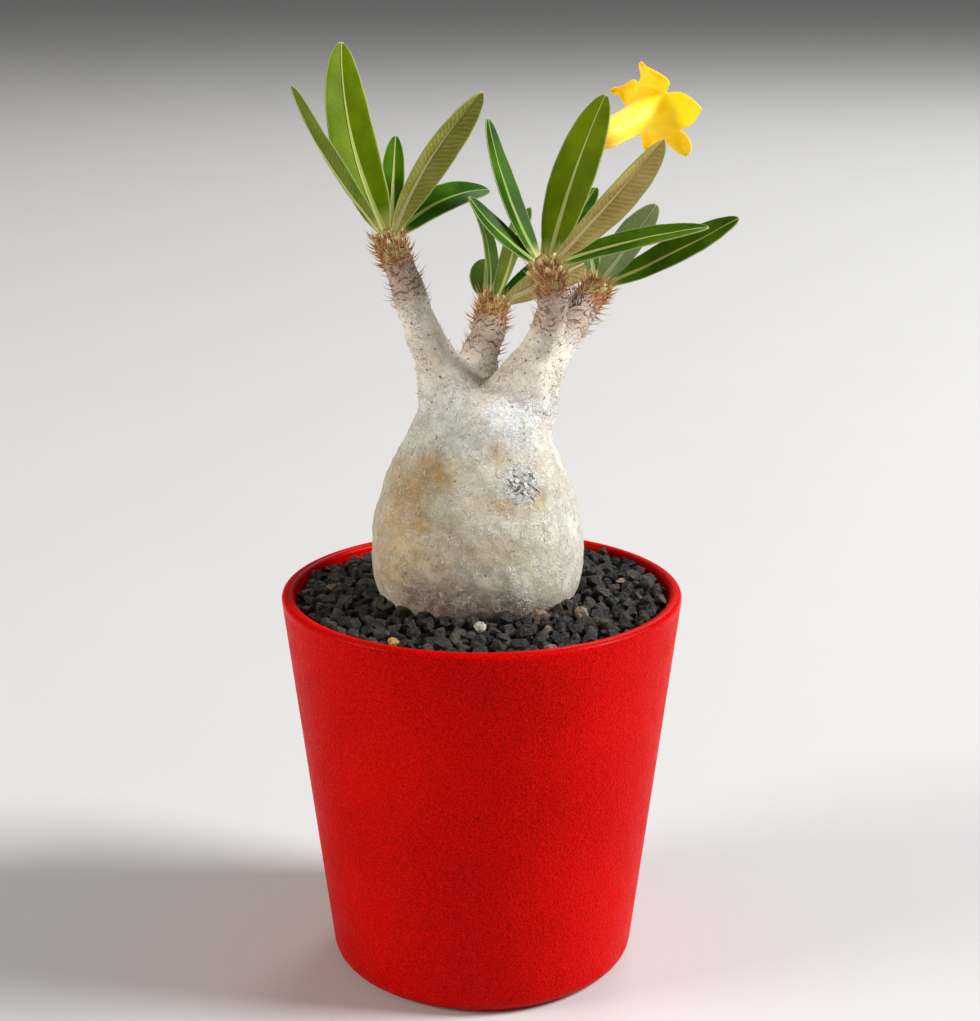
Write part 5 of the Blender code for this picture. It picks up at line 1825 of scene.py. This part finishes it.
    def build_stalk(self) -> Piece:
        """Extrudes the stalk from the back of the front branch's tip up to the calyx."""
        outward = Vector((*polar(math.radians(self.stalk_turn)), 0.3)).normalized()
        first = self.trunk.crown("c") + outward * (self.trunk.branches["c"][-1][3] - self.stalk_seat)
        last = self.base - self.axis * self.stalk_end
        rise = Vector((0.0, 1.0, 0.8)).normalized() * self.stalk_rise
        approach = (self.axis + UP * 0.4).normalized() * self.stalk_approach
        path = []
        for step in range(self.stalk_rings + 1):
            share = step / self.stalk_rings
            left = 1 - share
            place = first * left**3 + (first + rise) * 3 * left * left * share
            place += (last - approach) * 3 * left * share * share + last * share**3
            path.append((*place, self.stalk_radius * mix(self.stalk_flare, 1.0, share)))
        return shade(extrude_bar("green_stalk", path, self.stalk_sides), 60.0)

    def build(self) -> None:
        """Builds and dresses the flower."""
        sepal = GreenSkin("sepals", (0.16, 0.24, 0.04), (0.34, 0.44, 0.10))
        stalk = GreenSkin("flower stalk", (0.15, 0.22, 0.04), (0.34, 0.40, 0.12))
        dress(self.build_corolla(), [Petal().build()], ["corolla"])
        dress(self.build_calyx(), [sepal.build()], ["calyx"])
        dress(self.build_stalk(), [stalk.build()], ["flower_stalk"])


@dataclass(frozen=True)
class SoftGlobe:
    """A round soft light: where it hangs and its radius in metres, its power in watts and its colour."""

    name: str
    place: Point
    radius: float
    power: float
    colour: Colour = (1.0, 1.0, 1.0)


@dataclass
class Studio:
    """The floor, the lights and the camera."""

    floor_size: float = 30.0
    sky: Colour = (0.80, 0.80, 0.80)
    sky_strength: float = 0.19
    lights: tuple[SoftGlobe, ...] = (
        SoftGlobe("key", (2.25, -0.24, 1.73), 0.50, 455.0, (0.97, 0.98, 1.0)),
        SoftGlobe("fill", (-2.38, -0.80, 1.25), 0.60, 190.0, (1.0, 0.93, 0.84)),
        SoftGlobe("back", (0.70, 2.20, 1.85), 0.60, 70.0),
    )
    sensor: float = 36.0
    photo_size: tuple[int, int] = (980, 1021)
    focal_pixels: float = 2000.0
    look_at: Point = (2.25, 0.0, 130.2)
    distance: float = 544.0
    pitch: float = 16.0

    def build_floor(self) -> None:
        """Lays the pale floor."""
        settle()
        bpy.ops.mesh.primitive_grid_add(x_subdivisions=8, y_subdivisions=8, size=self.floor_size)
        floor = name_piece(bpy.context.object, "pale_floor")
        floor.data.materials.append(FloorPaint().build())

    def build_lights(self) -> None:
        """Hangs the soft globes and lights the surroundings evenly."""
        for globe in self.lights:
            light = bpy.data.lights.new(globe.name, "POINT")
            light.shadow_soft_size = globe.radius
            light.energy = globe.power
            light.color = globe.colour
            lamp = bpy.data.objects.new(globe.name, light)
            lamp.location = globe.place
            bpy.context.scene.collection.objects.link(lamp)
        world = bpy.data.worlds.new("studio")
        world.use_nodes = True
        background = world.node_tree.nodes["Background"]
        background.inputs["Color"].default_value = (*self.sky, 1.0)
        background.inputs["Strength"].default_value = self.sky_strength
        bpy.context.scene.world = world

    def build_camera(self) -> None:
        """Sets the camera at the photograph's viewing angle."""
        pitch = math.radians(self.pitch)
        forward = Vector((0.0, math.cos(pitch), -math.sin(pitch)))
        lens = bpy.data.cameras.new("camera")
        lens.sensor_width = self.sensor
        lens.sensor_fit = "AUTO"
        lens.lens = self.sensor * self.focal_pixels / max(self.photo_size)
        camera = bpy.data.objects.new("camera", lens)
        camera.location = (Vector(self.look_at) - forward * self.distance) * MM
        camera.rotation_euler = (math.pi / 2 - pitch, 0.0, 0.0)
        bpy.context.scene.collection.objects.link(camera)
        bpy.context.scene.camera = camera

    def build(self) -> None:
        """Sets up the studio."""
        self.build_floor()
        self.build_lights()
        self.build_camera()
        bpy.context.scene.view_settings.view_transform = "Standard"


def dress_soil(node: Piece) -> None:
    """Gives the CAD solid of the potting mix its finish."""
    node.data.materials.clear()
    node.data.materials.append(PottingMix().build())


def main() -> None:
    """Builds every sub-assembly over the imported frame."""
    logging.basicConfig(level=logging.INFO, format="%(name)s: %(message)s")
    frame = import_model()
    pot = Pot()
    trunk = Trunk()
    pot.build()
    dress_soil(frame["nodes"]["soil"])
    Gravel(pot, trunk).build()
    trunk.build()
    Foliage(trunk).build()
    Flower(trunk).build()
    Studio().build()
    settle()


if __name__ == "__main__":
    main()
